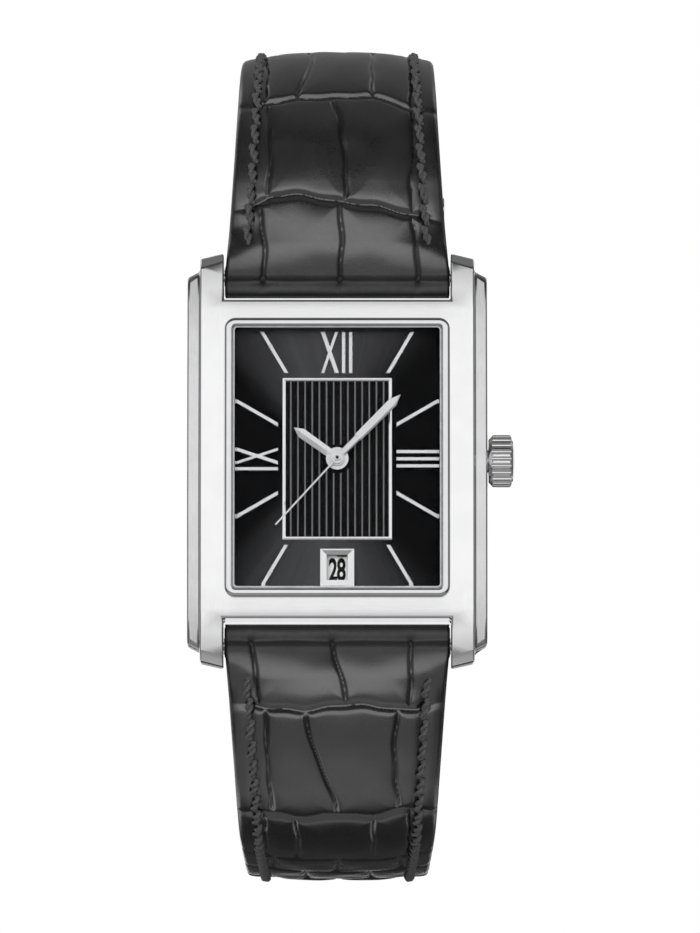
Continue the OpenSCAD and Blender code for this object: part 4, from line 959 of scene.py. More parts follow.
def slot_cutter(material):
    """The gap in the 12 o'clock strap's end loop where the tang turns."""
    o, b, h = (float(v[0]) for v in strap_line(np.array([LENGTH_12]), RUNS_12))
    verts = [(x, b - BAR_UP + ds * math.sin(h) - w * math.cos(h), o + ds * math.cos(h) + w * math.sin(h))
             for x in (-1.1, 1.1) for ds, w in ((-2.5, -6), (9.5, -6), (9.5, 6), (-2.5, 6))]
    return placed("tang_gap", tidy(mesh_of("tang_gap", verts, skin(4, 2), [material])))


def leather_finish(s):
    return grained_leather("Grained leather", s.leather[:])


class WATCH_OT_strap_leather(bpy.types.Operator):
    """Makes the two halves of the grained leather strap"""

    bl_idname = "watch.strap_leather"
    bl_label = "Strap leather"

    def execute(self, context):
        s = context.scene.watch_strap
        paint = one_grain("Edge paint", s.edge[:], (2.4, 4), (0.05, 0.6), (0.8, 1.5), (0.38, 0.52),
                          over=((14.0, 3), (0.01, 0.4)))
        for n, half in HALVES.items():
            name = f"leather_{n}"
            obj = placed(name, leather_piece(name, half, s, [leather_finish(s), paint]))
            cut(obj, slot_cutter(paint) if n == "12" else hole_cutter(paint))
            tidy(obj.data, STRAP_EDGE, merge=MERGE)
            belongs(obj, f"strap_{n}", (f"strap_{n}_leather",))
        return {"FINISHED"}


class WATCH_OT_strap_lining(bpy.types.Operator):
    """Makes the lining of both halves of the strap"""

    bl_idname = "watch.strap_lining"
    bl_label = "Strap lining"

    def execute(self, context):
        material = lining_leather("Lining leather", context.scene.watch_strap.lining[:])
        for n, half in HALVES.items():
            obj = placed(f"lining_{n}", lining_piece(f"lining_{n}", half, [material, material]))
            if n == "6":
                cut(obj, hole_cutter(material))
            tidy(obj.data, STRAP_EDGE, merge=MERGE)
            belongs(obj, f"strap_{n}", (f"strap_{n}_lining",))
        return {"FINISHED"}


def twisted_stitch(ply, length=2.2):
    """One stitch along X: two plies laid round each other, its ends dipping into their holes."""
    verts, faces, n_len, n_round = [], [], 11, 6
    for side in (0, math.pi):
        faces += skin(n_round, n_len, len(verts))
        for u in np.arange(n_len) / (n_len - 1):
            dip = (2 * u - 1) ** 4
            turn = side + 2 * math.pi * 1.15 * u
            off = ply * 0.85 * (1 - 0.6 * dip)
            cy, cz = off * math.cos(turn), off * math.sin(turn) - 0.16 * dip
            r = ply * (1 - 0.45 * (2 * u - 1) ** 8)
            verts += [((u - 0.5) * length, cy + r * math.cos(a), cz + r * math.sin(a))
                      for a in np.arange(n_round) * 2 * math.pi / n_round]
    return tidy(mesh_of("stitch", verts, faces), 60.0)


def rows_mesh(name, half):
    """The lines that the stitches follow, with the direction that faces away from the leather."""
    runs, flip, length, _, _ = half
    last = row_end(length)
    s = np.linspace(STITCH_FROM, last, int((last - STITCH_FROM) / 0.5))
    verts, edges, outs = [], [], []
    for side in (-1, 1):
        x = side * (half_width(s) - STITCH_IN)
        base = len(verts)
        verts += list(strap_point(s, x, plain_top(s, x, length) + 0.02, runs, flip) * MM)
        outs += [(side * 0.16, -math.cos(a), flip * math.sin(a)) for a in strap_line(s, runs)[2]]
        edges += [(base + i, base + i + 1) for i in range(len(s) - 1)]
    mesh = bpy.data.meshes.new(name)
    mesh.from_pydata([tuple(v) for v in verts], edges, [])
    mesh.attributes.new("away", "FLOAT_VECTOR", "POINT").data.foreach_set("vector", np.array(outs, np.float32).ravel())
    return mesh


def new_tree(name, *inputs):
    """Shorthands for a new Geometry Nodes tree, and its inputs: the geometry, and more as (name, kind)."""
    tree = bpy.data.node_groups.new(name, "GeometryNodeTree")
    tree.interface.new_socket("Geometry", in_out="OUTPUT", socket_type="NodeSocketGeometry")
    for label, kind in (("Geometry", "Geometry"), *inputs):
        tree.interface.new_socket(label, in_out="INPUT", socket_type=f"NodeSocket{kind}")
    g = Nodes(tree)
    return g, g.node("NodeGroupInput").outputs


def end_tree(g, instances, material):
    """Makes the instances real, gives them the material and ends the tree."""
    real = g.node("GeometryNodeRealizeInstances", {0: instances})
    paint = g.node("GeometryNodeSetMaterial", {"Geometry": real.outputs[0], "Material": material})
    g.node("NodeGroupOutput", {0: paint.outputs[0]})
    return g.tree


def stitch_tree():
    """Geometry Nodes: one stitch at every pitch along the rows, slanted, slightly uneven."""
    g, given = new_tree("Stitch rows", ("Stitch", "Object"), ("Thread", "Material"), ("Pitch", "Float"),
                        ("Slant", "Float"), ("Unevenness", "Float"), ("Seed", "Int"))
    curve = g.node("GeometryNodeMeshToCurve", {0: given["Geometry"]})
    points = g.node("GeometryNodeResampleCurve", {"Curve": curve.outputs[0], "Length": given["Pitch"]}, mode="LENGTH")
    tangent = g.node("GeometryNodeInputTangent")
    away = g.node("GeometryNodeInputNamedAttribute", {"Name": "away"}, data_type="FLOAT_VECTOR")
    axes = g.node("FunctionNodeAxesToRotation",
                  {"Primary Axis": tangent.outputs[0], "Secondary Axis": away.outputs["Attribute"]},
                  primary_axis="X", secondary_axis="Z")
    stitch = g.node("GeometryNodeObjectInfo", {"Object": given["Stitch"]})
    put = g.node("GeometryNodeInstanceOnPoints", {"Points": points.outputs[0], "Instance": stitch.outputs["Geometry"],
                                                  "Rotation": axes.outputs[0]})
    uneven = g.node("FunctionNodeRandomValue", {2: g.times(given["Unevenness"], -1.0),
                                                3: given["Unevenness"], "Seed": given["Seed"]})
    turn = g.node("ShaderNodeCombineXYZ", {"Z": g.plus(given["Slant"], uneven.outputs[1])})
    spin = g.node("GeometryNodeRotateInstances", {"Instances": put.outputs[0], "Rotation": turn.outputs[0]})
    return end_tree(g, spin.outputs[0], given["Thread"])


def nodes_to_mesh(obj, tree, values):
    """Runs a Geometry Nodes tree on the object and keeps only the plain mesh that it makes."""
    m = obj.modifiers.new("Nodes", "NODES")
    m.node_group = tree
    names = {i.name: i.identifier for i in tree.interface.items_tree if i.in_out == "INPUT"}
    for name, value in values.items():
        m[names[name]] = value
    keep_only(obj, m, frozen(obj))
    if not obj.data.polygons:
        raise RuntimeError(f"{obj.name}: the nodes made nothing")
    return obj


class WATCH_OT_stitching(bpy.types.Operator):
    """Sews the two rows of twisted thread on each half of the strap"""

    bl_idname = "watch.stitching"
    bl_label = "Stitching"

    def execute(self, context):
        s = context.scene.watch_strap
        thread = one_grain("Sewing thread", s.thread[:], (1.0, 5, 0.7), (0.03, 0.8), (0.6, 2.2), (0.45, 0.62),
                           along=(16, 16, 5), Sheen=0.15, SheenRoughness=0.4)
        stitch = placed("stitch", twisted_stitch(s.ply / MM))
        tree = stitch_tree()
        for n, half in HALVES.items():
            obj = placed(f"stitching_{n}", rows_mesh(f"stitching_{n}", half))
            nodes_to_mesh(obj, tree, {"Stitch": stitch, "Thread": thread, "Pitch": s.pitch, "Slant": s.slant * half[1],
                                      "Unevenness": 0.06, "Seed": s.seed})
            tidy(obj.data, 60.0, merge=0)
            belongs(obj, f"strap_{n}", (f"strap_{n}_stitching",))
        bpy.data.objects.remove(stitch)
        return {"FINISHED"}


def keeper_piece(name, s_mid, length, clear, material):
    """A loop of leather round the strap: a rounded band swept round a rounded rectangle."""
    half = float(half_width(np.array(s_mid))) + clear
    t = float(thick(np.array(s_mid)))
    lo, hi = -t / 2 - clear, t / 2 + 2.5
    wall, path = 0.62, []
    for sx, cy, corner, a0 in ((1, hi, 1.9, 0), (-1, hi, 1.9, 90), (-1, lo, 0.6, 180), (1, lo, 0.6, 270)):
        cx, cy = sx * (half - corner + wall / 2), cy + (wall / 2 - corner) * (1 if cy > 0 else -1)
        for a in np.linspace(a0, a0 + 90, 9) * DEG:
            path.append((cx + corner * math.cos(a), cy + corner * math.sin(a), math.cos(a), math.sin(a)))
    dense = []
    for (xa, ya, na, ma), (xb, yb, nb, mb) in zip(path, path[1:] + path[:1]):
        steps = max(1, int(math.hypot(xb - xa, yb - ya) / 0.7))
        for k in range(steps):
            u = k / steps
            dense.append((xa + (xb - xa) * u, ya + (yb - ya) * u, na + (nb - na) * u, ma + (mb - ma) * u))
    r, section = 0.26, []
    for cs, cw, a0 in ((length / 2 - r, wall / 2 - r, 0), (-length / 2 + r, wall / 2 - r, 90),
                       (-length / 2 + r, -wall / 2 + r, 180), (length / 2 - r, -wall / 2 + r, 270)):
        for a in np.linspace(a0, a0 + 90, 6) * DEG:
            section.append((cs + r * math.cos(a), cw + r * math.sin(a)))
        if a0 in (0, 180):
            side = 1 if a0 == 0 else -1
            for k in np.linspace(length / 2 - r, -length / 2 + r, 14)[1:-1]:
                groove = 0.08 * math.exp(-(((abs(k) - length / 2 + 0.95) / 0.13) ** 2))
                section.append((side * k, side * (wall / 2 - (groove if side > 0 else 0))))
    s = np.array([[s_mid + q[0] for q in section] for _ in dense])
    x = np.array([[p[0] + q[1] * p[2] for q in section] for p in dense])
    w = np.array([[p[1] + q[1] * p[3] for q in section] for p in dense])
    wave = 0.02 * np.sin(1.3 * x + 0.8 * s) * np.cos(0.9 * s)
    verts = strap_point(s, x, w + wave, RUNS_12, 1).reshape(-1, 3)
    mesh = mesh_of(name, verts, skin(len(section), len(dense), closed=True), [material])
    lay_uv(mesh, np.stack([x.ravel() + 3 * w.ravel(), s.ravel()], -1))
    return tidy(mesh, 45.0)


class WATCH_OT_keepers(bpy.types.Operator):
    """Makes the fixed and the free keeper loop"""

    bl_idname = "watch.keepers"
    bl_label = "Keepers"

    def execute(self, context):
        leather = leather_finish(context.scene.watch_strap)
        for kind, s_mid, length, clear, body in (("fixed", 69.5, 4.0, 0.1, "strap_12"),
                                                 ("free", 60.0, 5.0, 0.14, "keeper_loop")):
            mesh = keeper_piece(f"keeper_{kind}", s_mid, length, clear, leather)
            placed(mesh.name, mesh, body, (f"{kind}_keeper",))
        return {"FINISHED"}


# ------------------------------------------------------------------ case, dial and movement


def bezel_mesh(material):
    """The bezel ring: a nearly flat polished band with rounded edges, swept round a rounded rectangle."""
    profile = ((0.07, 5.65), (0.07, 7.0), (0.09, 7.12), (0.14, 7.22), (0.21, 7.29), (0.3, 7.33), (0.46, 7.35),
               (0.66, 7.34), (0.76, 7.31), (0.84, 7.25), (0.89, 7.16), (0.92, 7.0), (0.92, 5.65))
    verts, turns = [], 11
    for inset, height in profile:
        w, l, r = BEZEL_WIDE - inset, BEZEL_LONG - inset, max(BEZEL_CORNER - inset, 0.3)
        for q, (sx, sz) in enumerate(((1, 1), (-1, 1), (-1, -1), (1, -1))):
            for a in np.linspace(q * 90, q * 90 + 90, turns) * DEG:
                verts.append((sx * (w - r) + r * math.cos(a), -height, sz * (l - r) + r * math.sin(a)))
    return tidy(mesh_of("bezel", verts, skin(4 * turns, len(profile), closed=True), [material]), 50.0)


def end_ledges(material):
    """Polished ledges between the lugs, in front of the strap's folded roots."""
    step = ((15.5, -2.1), (15.5, -3.1), (16.02, -3.1), (16.12, -3.0), (16.12, -2.1))
    verts = [(x, y, side * z) for side in (1, -1) for x in (-10.95, 10.95) for z, y in step]
    faces = skin(len(step), 2) + skin(len(step), 2, 2 * len(step))
    return tidy(mesh_of("end_ledges", verts, faces, [material]))


class WATCH_OT_case(bpy.types.Operator):
    """Finishes the case middle, bezel, back, screws, tube and bars"""

    bl_idname = "watch.case"
    bl_label = "Case"

    def execute(self, context):
        m = context.scene.watch_metal
        satin = front_steel("Front steel", m.case[:], 0.13)
        step = satin_steel("Flank steel", m.flank[:], 0.2, (7.0, 7.0, 0.6), 0.2)
        mirror = polished_steel("Polished steel", m.polished[:])

        def outer_edge(a, b):
            """Picks the long edges, apart from the bezel's seat and the crown's recess."""
            mid, reach = (a + b) / 2, (a - b).length
            seat = abs(mid.x) < 11.3 and abs(mid.z) < 14.3
            return reach > 0.45 and not seat and not (mid.x > 13 and abs(mid.z) < 1.6 and mid.y > -5)

        body = eased_copy("case_body", "case_middle", m.edge / MM, satin, "head", 3, keep=outer_edge)
        body.data.materials.append(step)
        for f in body.data.polygons:
            if abs(f.center.x) > FLANK_X * MM:
                f.material_index = 1
        placed("end_ledges", end_ledges(mirror), "head")
        placed("bezel", bezel_mesh(polished_steel("Bezel steel", m.bezel[:], 0.07)), "head", ("bezel_ring",))
        back = satin_steel("Brushed back steel", SLOTS["back_steel"], 0.26, (9.0, 9.0, 0.4), 0.7)
        eased_copy("back_plate", "case_back", 0.06, back, "head")
        dress(polished_steel("Screw steel", shade_of(SLOTS["screw_steel"], 1.4), 0.12), "case_back_screws")
        dress(satin_steel("Tube steel", SLOTS["back_steel"], 0.25, (5, 5, 5)), "crown_tube")
        spring = satin_steel("Spring steel", SLOTS["spring_steel"], 0.24, (2.0, 9.0, 9.0))
        for n in HALVES:
            dress(spring, f"spring_bar_{n}", f"bar_tip_{n}_left", f"bar_tip_{n}_right")
        dress(moulded("Gasket rubber", SLOTS["gasket_rubber"], 0.6, 12.0), "case_back_gasket", "crown_gasket")
        return {"FINISHED"}


class WATCH_OT_glass(bpy.types.Operator):
    """Finishes the flat glass and its ring"""

    bl_idname = "watch.glass"
    bl_label = "Glass"

    def execute(self, context):
        dress(watch_glass("Coated glass"), "crystal")
        dress(moulded("Clear nylon", SLOTS["clear_nylon"], 0.35, 10.0, 0.004), "crystal_gasket")
        return {"FINISHED"}


def rib_tree():
    """Geometry Nodes: fine upright lines side by side across the panel."""
    g, given = new_tree("Panel lines", ("Line", "Object"), ("Finish", "Material"), ("Count", "Int"), ("Pitch", "Float"))
    width = g.times(g.math("SUBTRACT", given["Count"], 1.0), given["Pitch"])
    first = g.node("ShaderNodeCombineXYZ", {"X": g.times(width, -0.5)})
    step = g.node("ShaderNodeCombineXYZ", {"X": given["Pitch"]})
    row = g.node("GeometryNodeMeshLine", {"Count": given["Count"], "Start Location": first.outputs[0],
                                          "Offset": step.outputs[0]})
    line = g.node("GeometryNodeObjectInfo", {"Object": given["Line"]})
    put = g.node("GeometryNodeInstanceOnPoints", {"Points": row.outputs[0], "Instance": line.outputs["Geometry"]})
    return end_tree(g, put.outputs[0], given["Finish"])


class WATCH_OT_dial(bpy.types.Operator):
    """Finishes the sunray dial, the fluted panel with its fine lines, and the dial's edge"""

    bl_idname = "watch.dial"
    bl_label = "Dial"

    def execute(self, context):
        s = context.scene.watch_dial
        dress(sunray_dial("Sunray dial", s.black[:], s.ray[:]), "dial")
        dress(moulded("Dial edge black", (0.012, 0.012, 0.013), 0.4, 10.0, 0.004), "dial_flange")
        dress(one_grain("Panel black", s.panel[:], (3.0, 4), (0.002, 0.1), (0.8, 1.25), (0.45, 0.55), Specular=0.06),
              "centre_panel")
        # Partly painted highlight: the lines are real ribs, and their grey finish stands for the light on the flutes'
        # crests.
        finish = one_grain("Flute line", s.line[:], (1.0, 4, 0.6), (0.004, 0.3), (0.8, 1.15), (0.34, 0.46),
                           along=(6.0, 6.0, 0.7), Metallic=0.7)
        section = ((-0.075, 0.0), (-0.045, 0.05), (0.0, 0.068), (0.045, 0.05), (0.075, 0.0), (0.0, -0.07))
        verts = [(x, -PANEL_FRONT - y, z * PANEL_LONG / 2) for z in (-1, 1) for x, y in section]
        line = placed("panel_line", tidy(mesh_of("panel_line", verts, skin(len(section), 2)), 50.0))
        lines = placed("panel_lines", mesh_of("panel_lines", [(0, 0, 0)], []))
        nodes_to_mesh(lines, rib_tree(), {"Line": line, "Finish": finish, "Count": s.flutes,
                                          "Pitch": PANEL_WIDE / (s.flutes + 0.4) * MM})
        bpy.data.objects.remove(line)
        plug = [(x, y, z) for y in (-6, -4.9) for x, z in circle_2d(0, HUB_R, 40)]
        cut(lines, placed("hub_hole", tidy(mesh_of("hub_hole", plug, skin(40, 2)))))
        belongs(lines, "head")
        return {"FINISHED"}


def bar_plans(width):
    """Corners of the eight slanted hour bars, in millimetres on the dial."""
    plans = []
    for sx in (-1, 1):
        for sy in (-1, 1):
            for (lo, hi), angle, upright in ((MARK_Z, 30.5, True), (MARK_X, 30.0, False)):
                t, k = math.tan(angle * DEG), width / 2 / math.cos(angle * DEG)
                plan = [(lo, lo * t - k), (lo, lo * t + k), (hi, hi * t + k), (hi, hi * t - k)]
                plans.append([(sx * b, sy * a) if upright else (sx * a, sy * b) for a, b in plan])
    return plans


def numeral_plans(width):
    """Corners of the strokes of XII, III and IX, cut level at their ends."""
    def stroke(ends, a, b, share, lying=False):
        (lo, hi), w = ends, width * share
        k = w / 2 * math.hypot(b - a, hi - lo) / abs(hi - lo)
        plan = [(a - k, lo), (a + k, lo), (b + k, hi), (b - k, hi)]
        return [p[::-1] for p in plan] if lying else plan

    left = (-MARK_X[1], -MARK_X[0])
    xii = ((-1.42, -0.02, 1.16), (-0.06, -1.42, 0.86), (0.62, 0.62, 1.0), (1.31, 1.31, 1.0))
    ix = ((0.95, -0.4, 1.0), (-0.4, 0.95, 0.8), (-0.98, -0.98, 0.95))
    return ([stroke(XII_Z, *s) for s in xii] + [stroke(MARK_X, y, y, 0.95, True) for y in (-0.7, 0.0, 0.7)]
            + [stroke(left, *s, True) for s in ix])


def marks_mesh(name, plans, height, material):
    """Flat-topped applied marks with a narrow bevel all round, standing on the dial."""
    verts, faces = [], []
    for i, plan in enumerate(plans):
        p = np.array(plan, float)
        if np.cross(p[1] - p[0], p[2] - p[1]) < 0:
            p = p[::-1]
        inset = []
        for k in range(4):
            a, b, c = p[k - 1], p[k], p[(k + 1) % 4]
            u, v = (a - b) / np.linalg.norm(a - b), (c - b) / np.linalg.norm(c - b)
            inset.append(b + (u + v) / abs(np.cross(u, v)) * 0.045)
        base, lift = len(verts), 0.004 * (i % 3)
        for ring, h in ((p, -0.02), (p, height - 0.07), (inset, height - lift)):
            verts += [(q[0], -DIAL_FRONT - h, q[1]) for q in ring]
        faces += skin(4, 3, base)
    return tidy(mesh_of(name, verts, faces, [material]), merge=0)


def hub_cap(hand, painted_hollow_shade, front):
    """The domed cap over the hands, with its hollow painted dark as painted shade."""
    profile = ((0.13, -0.035), (0.15, 0.06), (0.19, 0.09), (0.27, 0.095), (0.34, 0.06), (0.37, -0.04))
    n = 28
    verts = [(0, front - profile[0][1], 0)]
    verts += [(x, front - h, z) for r, h in profile for x, z in circle_2d(0, r, n)]
    faces = [(0, 1 + k, 1 + (k + 1) % n) for k in range(n)] + skin(n, len(profile), 1, caps=False)
    faces.append(tuple(range(len(verts) - n, len(verts))))
    return tidy(mesh_of("hub_cap", verts, faces, [hand, painted_hollow_shade], [int(i < 2 * n) for i in range(len(faces))]), 35.0)


def minute_face(material):
    """The minute hand's upper face: a narrow stem, a step and a tapering blade."""
    turn, verts = MINUTE_ANGLE * DEG, []
    stations = ((0.72, 0.3, 0.1, 0.185), (2.82, 0.32, 0.1, 0.185), (2.86, 0.42, 0.12, 0.215), (7.7, 0.46, 0.12, 0.215),
                (8.74, 0.02, 0.1, 0.12))
    for u, half, low, high in stations:
        for across, h in ((-1, 0.004), (-1, low), (-0.6, high), (0.6, high), (1, low), (1, 0.004)):
            x, z = u * math.sin(turn), u * math.cos(turn)
            verts.append((x + across * half * math.cos(turn), -MINUTE_FRONT - h, z - across * half * math.sin(turn)))
    return tidy(mesh_of("minute_face", verts, skin(6, len(stations)), [material]))


class WATCH_OT_markers(bpy.types.Operator):
    """Finishes the numerals, hour bars, panel frame, date frame and hands"""

    bl_idname = "watch.markers"
    bl_label = "Markers and hands"

    def execute(self, context):
        m = context.scene.watch_metal
        bright = polished_steel("Marker steel", m.marker[:], 0.2, 0.08)
        width, height = m.mark / MM, m.mark_height / MM
        for name, plans in (("numerals", numeral_plans(width)), ("bars", bar_plans(width))):
            placed(name, marks_mesh(name, plans, height, bright), "head", (f"hour_{name}",))
        rim = satin_steel("Frame steel", m.frame[:], 0.14, (2.0, 2.0, 2.0), 0.03)
        for name, node, edge in (("panel_frame", "centre_panel_frame", 0.04), ("date_frame", "date_window_frame", 0.0)):
            piece = eased_copy(name, node, edge, rim, "head", angle=9.0)
            if name == "date_frame":
                top = max(v.co.z for v in piece.data.vertices)
                for v in piece.data.vertices:
                    v.co.z = top + (v.co.z - top) * 0.92
        hand = polished_steel("Hand steel", m.hand[:], 0.2, 0.06)
        for n, edge in (("hour", 0.06), ("minute", 0.06), ("second", 0.02)):
            eased_copy(f"{n}_blade", f"{n}_hand", edge, hand, f"{n}_arbor", angle=18.0)
        low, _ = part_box("second_hand")
        # Painted shade: the cap's shallow hollow gets a near-black finish that stands for the shade in the hole.
        painted_hollow_shade = moulded("Hub hollow", (0.01, 0.01, 0.01), 0.5, 12.0, 0.004)
        placed("hub_cap", hub_cap(hand, painted_hollow_shade, low.y / MM), "second_arbor")
        placed("minute_face", minute_face(hand), "minute_arbor")
        return {"FINISHED"}


def date_number(n, tall):
    """Points and faces of one printed number, flat, in millimetres and centred; tall is its height."""
    curve = bpy.data.curves.new("number", "FONT")
    curve.body, curve.align_x, curve.align_y, curve.size, curve.extrude = str(n), "CENTER", "CENTER", 1.0, 0.0
    curve.resolution_u, curve.offset, curve.space_character = 4, 0.028, 0.92
    temp = placed("number", curve)
    mesh = frozen(temp)
    p = np.array([v.co[:2] for v in mesh.vertices])
    faces = [list(f.vertices) for f in mesh.polygons]
    for data, item in ((bpy.data.objects, temp), (bpy.data.curves, curve), (bpy.data.meshes, mesh)):
        data.remove(item)
    p = (p - (p.min(0) + p.max(0)) / 2) * (tall / np.ptp(p[:, 1]))
    p[:, 0] *= 0.62
    if n > 9 and n != 11:
        p[:, 0] *= min(1.15, 1.66 / np.ptp(p[:, 0]))
    return p, faces


class WATCH_OT_date(bpy.types.Operator):
    """Finishes the date disc and prints its 31 numbers"""

    bl_idname = "watch.date_numbers"
    bl_label = "Date numbers"

    def execute(self, context):
        s = context.scene.watch_dial
        dress(printed("Date disc white", s.date_paper[:]), "date_ring")
        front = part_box("date_ring")[0].y / MM
        verts, faces = [], []
        for n in range(1, DATES + 1):
            p, flat = date_number(n, s.date_height / MM)
            turn = (n - DATE_SHOWN) * 2 * math.pi / DATES
            c, si = math.cos(turn), math.sin(turn)
            x = p[:, 0] * c + (p[:, 1] - DATE_R) * si
            z = (p[:, 1] - DATE_R) * c - p[:, 0] * si
            a, b = len(verts), len(verts) + len(p)
            verts += [(x[i], y, z[i]) for y in (front - 0.012, front + 0.01) for i in range(len(p))]
            edges = dict.fromkeys(e for ids in flat for e in zip(ids, ids[1:] + ids[:1]))
            for ids in flat:
                faces += [tuple(a + i for i in ids), tuple(b + i for i in reversed(ids))]
            faces += [(a + v, a + u, b + u, b + v) for u, v in edges if (v, u) not in edges]
        ink = printed("Date ink", s.date_ink[:], 0.6, 0.08)
        mesh = tidy(mesh_of("date_numbers", verts, faces, [ink]), merge=0)
        placed("date_numbers", mesh, "date_disc")
        return {"FINISHED"}


class WATCH_OT_crown(bpy.types.Operator):
    """Finishes the fluted crown and its stem"""

    bl_idname = "watch.crown"
    bl_label = "Crown"

    def execute(self, context):
        mirror = polished_steel("Fluted knob steel", context.scene.watch_metal.polished[:], 0.1, 0.08)
        eased_copy("winding_crown", "crown", 0.05, mirror, "crown_turning", angle=24.0)
        steel = satin_steel("Stem steel", SLOTS["screw_steel"], 0.2, (1.0, 9.0, 9.0))
        dress(steel, "stem", "sliding_pinion")
        return {"FINISHED"}


class WATCH_OT_movement(bpy.types.Operator):
    """Finishes the quartz movement behind the dial"""

    bl_idname = "watch.movement"
    bl_label = "Movement"

    def execute(self, context):
        m = context.scene.watch_metal
        dress(moulded("Holder plastic", SLOTS["holder_plastic"], 0.5, 6.0), "movement_holder")
        dress(perlage_brass("Plate brass", m.brass[:]), "main_plate", "train_bridge")
        dress(one_grain("Blued screws", (0.07, 0.10, 0.26), (9.0, 4), (0.003, 0.4), (1.0, 0.75), (0.12, 0.22),
                        clouds=(1.6, 3), band=(0.4, 0.6), Metallic=1.0), "bridge_screws")
        dress(satin_steel("Battery steel", SLOTS["battery_steel"], 0.28, (3, 3, 3), 0.8), "battery", "quartz_can")
        dress(satin_steel("Clamp steel", SLOTS["spring_steel"], 0.3, (8, 8, 1)), "battery_clamp")
        dress(circuit_green("Circuit board", SLOTS["board_green"]), "circuit_board")
        dress(wound_copper("Wound copper", m.copper[:]), "coil")
        dress(satin_steel("Soft iron", SLOTS["soft_iron"], 0.35, (4, 4, 4), 0.8), "stator")
        wheel = one_grain("Wheel brass", SLOTS["wheel_brass"], (7.0, 5, 0.7), (0.004, 0.4), (0.88, 1.05), (0.2, 0.32),
                          band=(0.35, 0.65), Metallic=1.0)
        wheels = ("hour", "centre", "seconds", "third", "intermediate", "minute", "date")
        dress(wheel, "rotor", *(f"{n}_wheel" for n in wheels))
        return {"FINISHED"}


class WATCH_OT_buckle(bpy.types.Operator):
    """Finishes the buckle frame, its bar and its tang"""

    bl_idname = "watch.buckle"
    bl_label = "Buckle"

    def execute(self, context):
        mirror = polished_steel("Buckle steel", context.scene.watch_metal.polished[:], 0.08, 0.08)
        eased_copy("frame_of_buckle", "buckle_frame", 0.16, mirror, "buckle", 3)
        eased_copy("tang", "buckle_tang", 0.08, mirror, "tang", 2)
        dress(mirror, "buckle_bar")
        return {"FINISHED"}


# ------------------------------------------------------------------ stage

FLOOR = 1500.0  # half the floor's side in millimetres
LAMP_AT = (-0.18, -0.85, 0.16)  # metres
LOOKED_AT = (1.246, -6.0, -0.84)  # millimetres


def studio_world(strength):
    """White behind the watch, an even soft level for its colours, and a front light band that its polish mirrors."""
    world = bpy.data.worlds.new("Studio")
    world.use_nodes = True
    world.node_tree.nodes.clear()
    g = Nodes(world.node_tree)
    spread, blend, path = g.spread, g.blend, g.node("ShaderNodeLightPath").outputs
    x, y, z = g.axes(g.node("ShaderNodeTexCoord").outputs["Generated"])
    upper = g.plus(spread(z, 0.36, 0.56, 1.0, 0.05), spread(z, 0.8, 0.95, 0.0, 0.1))
    lower = g.plus(spread(z, -0.50, -0.38, 0.28, 0.22), spread(z, -0.97, -0.86, 0.14, 0.0))
    front = blend(spread(z, -0.31, -0.18), lower, upper)
    behind = blend(spread(z, 0.12, 0.35), spread(z, -0.1, -0.01, 0.04, 1.0), 0.2)
    behind = g.math("MAXIMUM", behind, spread(g.math("ABSOLUTE", x), 0.42, 0.62, 0.0, 0.85))
    side = g.times(spread(x, -0.88, -0.55, 0.2, 1.0), spread(x, 0.42, 0.85, 1.0, 0.14))
    mirrored = g.times(blend(spread(y, 0.0, 0.3), front, behind), g.times(side, 1.05))
    level = blend(path["Is Glossy Ray"], strength, mirrored)
    seen = g.math("MAXIMUM", path["Is Camera Ray"], path["Is Transmission Ray"])
    back = g.node("ShaderNodeBackground", {"Strength": blend(seen, level, 1.0), "Color": (1, 1, 1, 1)})
    g.node("ShaderNodeOutputWorld", {0: back.outputs[0]})
    return world


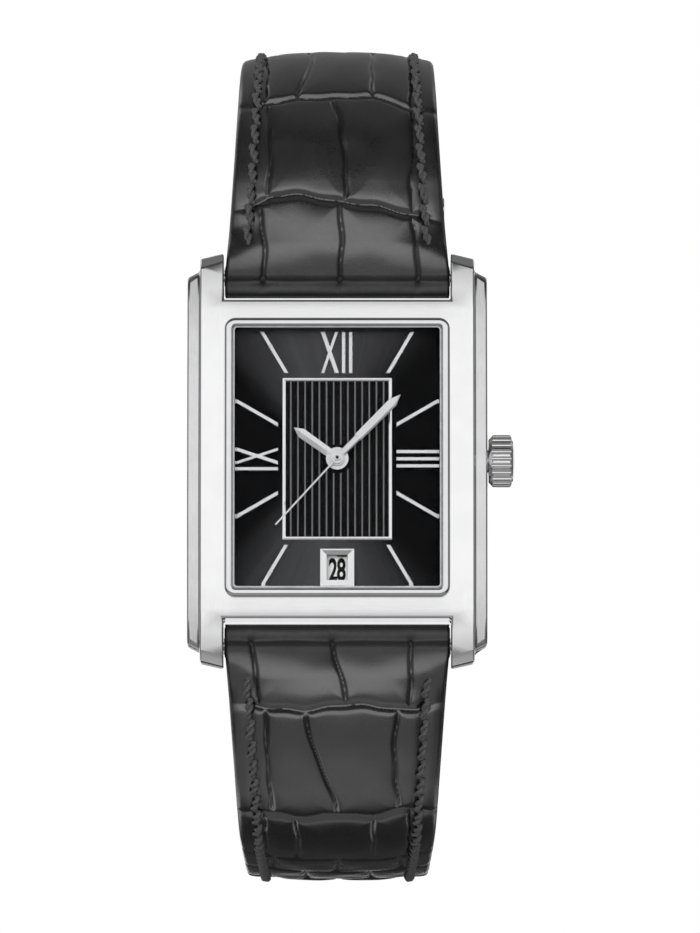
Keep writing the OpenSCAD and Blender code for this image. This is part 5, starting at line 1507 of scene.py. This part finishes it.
class WATCH_OT_stage(bpy.types.Operator):
    """Sets the floor, the soft studio light and the camera"""

    bl_idname = "watch.stage"
    bl_label = "Stage"

    def execute(self, context):
        s, scene = context.scene.watch_stage, context.scene
        verts = [(x, y, s.floor_z / MM) for y in (-FLOOR, FLOOR) for x in (-FLOOR, FLOOR)]
        floor = placed("floor", mesh_of("floor", verts, [(0, 1, 3, 2)], [printed("Pale floor", s.floor[:], 0.8)]))
        floor.visible_glossy = False
        lamp = bpy.data.lights.new("Soft key", "AREA")
        lamp.shape, lamp.size, lamp.size_y, lamp.energy = "RECTANGLE", 1.0, 0.5, s.key
        key = bpy.data.objects.new("Soft key", lamp)
        scene.collection.objects.link(key)
        key.location = LAMP_AT
        key.visible_camera = key.visible_glossy = key.visible_transmission = False
        key.rotation_euler = (-key.location).to_track_quat("-Z", "Y").to_euler()
        scene.world = studio_world(s.fill)
        camera = bpy.data.objects.new("Camera", bpy.data.cameras.new("Camera"))
        scene.collection.objects.link(camera)
        camera.data.sensor_fit, camera.data.sensor_height = "VERTICAL", 36.0
        camera.data.lens, camera.data.clip_end = s.lens, 20.0
        target = Vector(LOOKED_AT) * MM
        e = s.elevation
        camera.location = target + s.distance * Vector((0, -math.cos(e), math.sin(e)))
        camera.rotation_euler = (target - camera.location).to_track_quat("-Z", "Y").to_euler()
        scene.camera = camera
        scene.view_settings.view_transform = "Standard"
        return {"FINISHED"}


class WATCH_PT_panel(bpy.types.Panel):
    bl_label = "Rectangular wristwatch"
    bl_idname = "WATCH_PT_panel"
    bl_space_type = "VIEW_3D"
    bl_region_type = "UI"
    bl_category = "Watch"

    def draw(self, context):
        for group in GROUPS:
            for name in getattr(context.scene, group).__annotations__:
                self.layout.prop(getattr(context.scene, group), name)
        for operator in OPERATORS:
            self.layout.operator(operator.bl_idname)


OPERATORS = (WATCH_OT_case, WATCH_OT_glass, WATCH_OT_dial, WATCH_OT_markers, WATCH_OT_date, WATCH_OT_crown,
             WATCH_OT_movement, WATCH_OT_strap_leather, WATCH_OT_strap_lining, WATCH_OT_stitching,
             WATCH_OT_keepers, WATCH_OT_buckle, WATCH_OT_stage)
GROUPS = {"watch_strap": StrapSettings, "watch_metal": MetalSettings, "watch_dial": DialSettings,
          "watch_stage": StageSettings}


def register():
    for c in (*GROUPS.values(), *OPERATORS, WATCH_PT_panel):
        bpy.utils.register_class(c)
    for name, group in GROUPS.items():
        setattr(bpy.types.Scene, name, PointerProperty(type=group))


def unregister():
    for name in GROUPS:
        delattr(bpy.types.Scene, name)
    for c in (WATCH_PT_panel, *reversed(OPERATORS), *reversed(tuple(GROUPS.values()))):
        bpy.utils.unregister_class(c)


def main():
    register()
    for operator in OPERATORS:
        group, name = operator.bl_idname.split(".")
        getattr(getattr(bpy.ops, group), name)()


if __name__ == "__main__":
    main()
